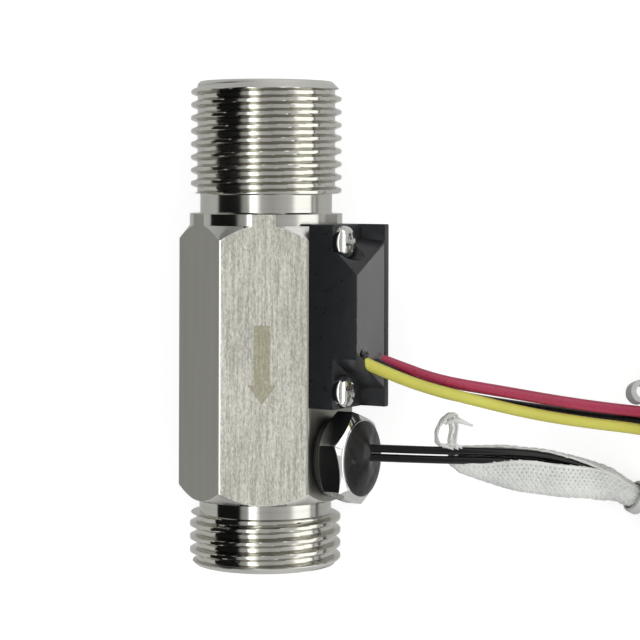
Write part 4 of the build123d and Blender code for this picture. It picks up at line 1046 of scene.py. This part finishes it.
# Bench
# A plain pale sheet under the part. It shows white to the camera and in the metal, and
# keeps the part's soft shadow.
bench_mesh = bpy.data.meshes.new("bench")
bench_mesh.from_pydata([(-3, -3, 0), (3, -3, 0), (3, 3, 0), (-3, 3, 0)], [], [(0, 1, 2, 3)])
bench = put_in_scene("bench", bench_mesh)
bench_paint, bench_tree, bench_shader = paint("pale_sheet", (0.50, 0.50, 0.50), 0.9)
bench_shader.inputs["Specular IOR Level"].default_value = 0.0
bench_shader.inputs["Emission Color"].default_value = (1, 1, 1, 1)
rays = add_node(bench_tree, "LightPath").outputs
to_camera = product(bench_tree, rays["Is Camera Ray"], 0.70)
mirrored = math_node(bench_tree, "MAXIMUM", rays["Is Glossy Ray"], rays["Is Transmission Ray"])
bench_glow = math_node(bench_tree, "ADD", to_camera, product(bench_tree, mirrored, 0.25))
bench_tree.links.new(bench_glow, bench_shader.inputs["Emission Strength"])
bench_mesh.materials.append(bench_paint)


# Light
# A soft room: a long strip lamp above, a broad window on the right, and a dark board
# on the left that gives the turned metal its black band.
room = bpy.data.worlds.new("room")
room.use_nodes = True
bpy.context.scene.world = room
room_tree = room.node_tree
room_light = room_tree.nodes["Background"]
room_light.inputs["Color"].default_value = (1, 1, 1, 1)
# Angle from straight up, round the pipe, and the brightness there.
ROOM_STOPS = [
    (-180, 0.9), (-100, 0.6), (-97, 0.012), (-44, 0.012), (-39, 0.45), (-28, 0.55),
    (-25, 2.9), (-17, 2.9), (-12, 0.7), (10, 0.55), (40, 0.75), (48, 0.95),
    (53, 2.0), (86, 2.0), (87.5, 0.05), (95, 0.05), (97, 0.9), (180, 0.9),
]
ROOM_SCALE = 2.5
room_place = add_node(room_tree, "TexCoord").outputs["Generated"]
room_x, room_y, room_z = add_node(room_tree, "SeparateXYZ", {0: room_place}).outputs
room_turn = math_node(room_tree, "ARCTAN2", room_x, room_z)
room_share = math_node(room_tree, "DIVIDE", room_turn, 2 * math.pi)
room_bands = add_node(room_tree, "ValToRGB", {"Fac": math_node(room_tree, "ADD", room_share, 0.5)})
ramp = room_bands.color_ramp
for angle, level in ROOM_STOPS[1:-1]:
    ramp.elements.new((angle + 180) / 360)
for element, (angle, level) in zip(ramp.elements, ROOM_STOPS):
    element.color = (level / ROOM_SCALE, level / ROOM_SCALE, level / ROOM_SCALE, 1)
room_level = product(room_tree, room_bands.outputs["Color"], ROOM_SCALE)
room_ends = mapped(room_tree, math_node(room_tree, "ABSOLUTE", room_y), 0.96, 0.995)
room_mix = add_node(room_tree, "Mix", {"Factor": room_ends, "A": room_level, "B": 0.8}, data_type="FLOAT")
room_rays = add_node(room_tree, "LightPath")
room_inputs = {"Factor": room_rays.outputs["Is Camera Ray"], "A": room_mix.outputs["Result"], "B": 1.0}
room_seen = add_node(room_tree, "Mix", room_inputs, data_type="FLOAT")
room_tree.links.new(room_seen.outputs["Result"], room_light.inputs["Strength"])

overhead = bpy.data.lights.new("overhead", "AREA")
overhead.shape = "RECTANGLE"
overhead.size = 0.25
overhead.size_y = 0.9
overhead.energy = 0.4
overhead_stand = put_in_scene("overhead", overhead)
overhead_stand.location = (-0.25, 0.0, 0.80)
overhead_stand.rotation_euler = (0, -math.atan2(0.25, 0.80), 0)
bpy.context.scene.view_settings.view_transform = "Standard"

bpy.context.view_layer.update()
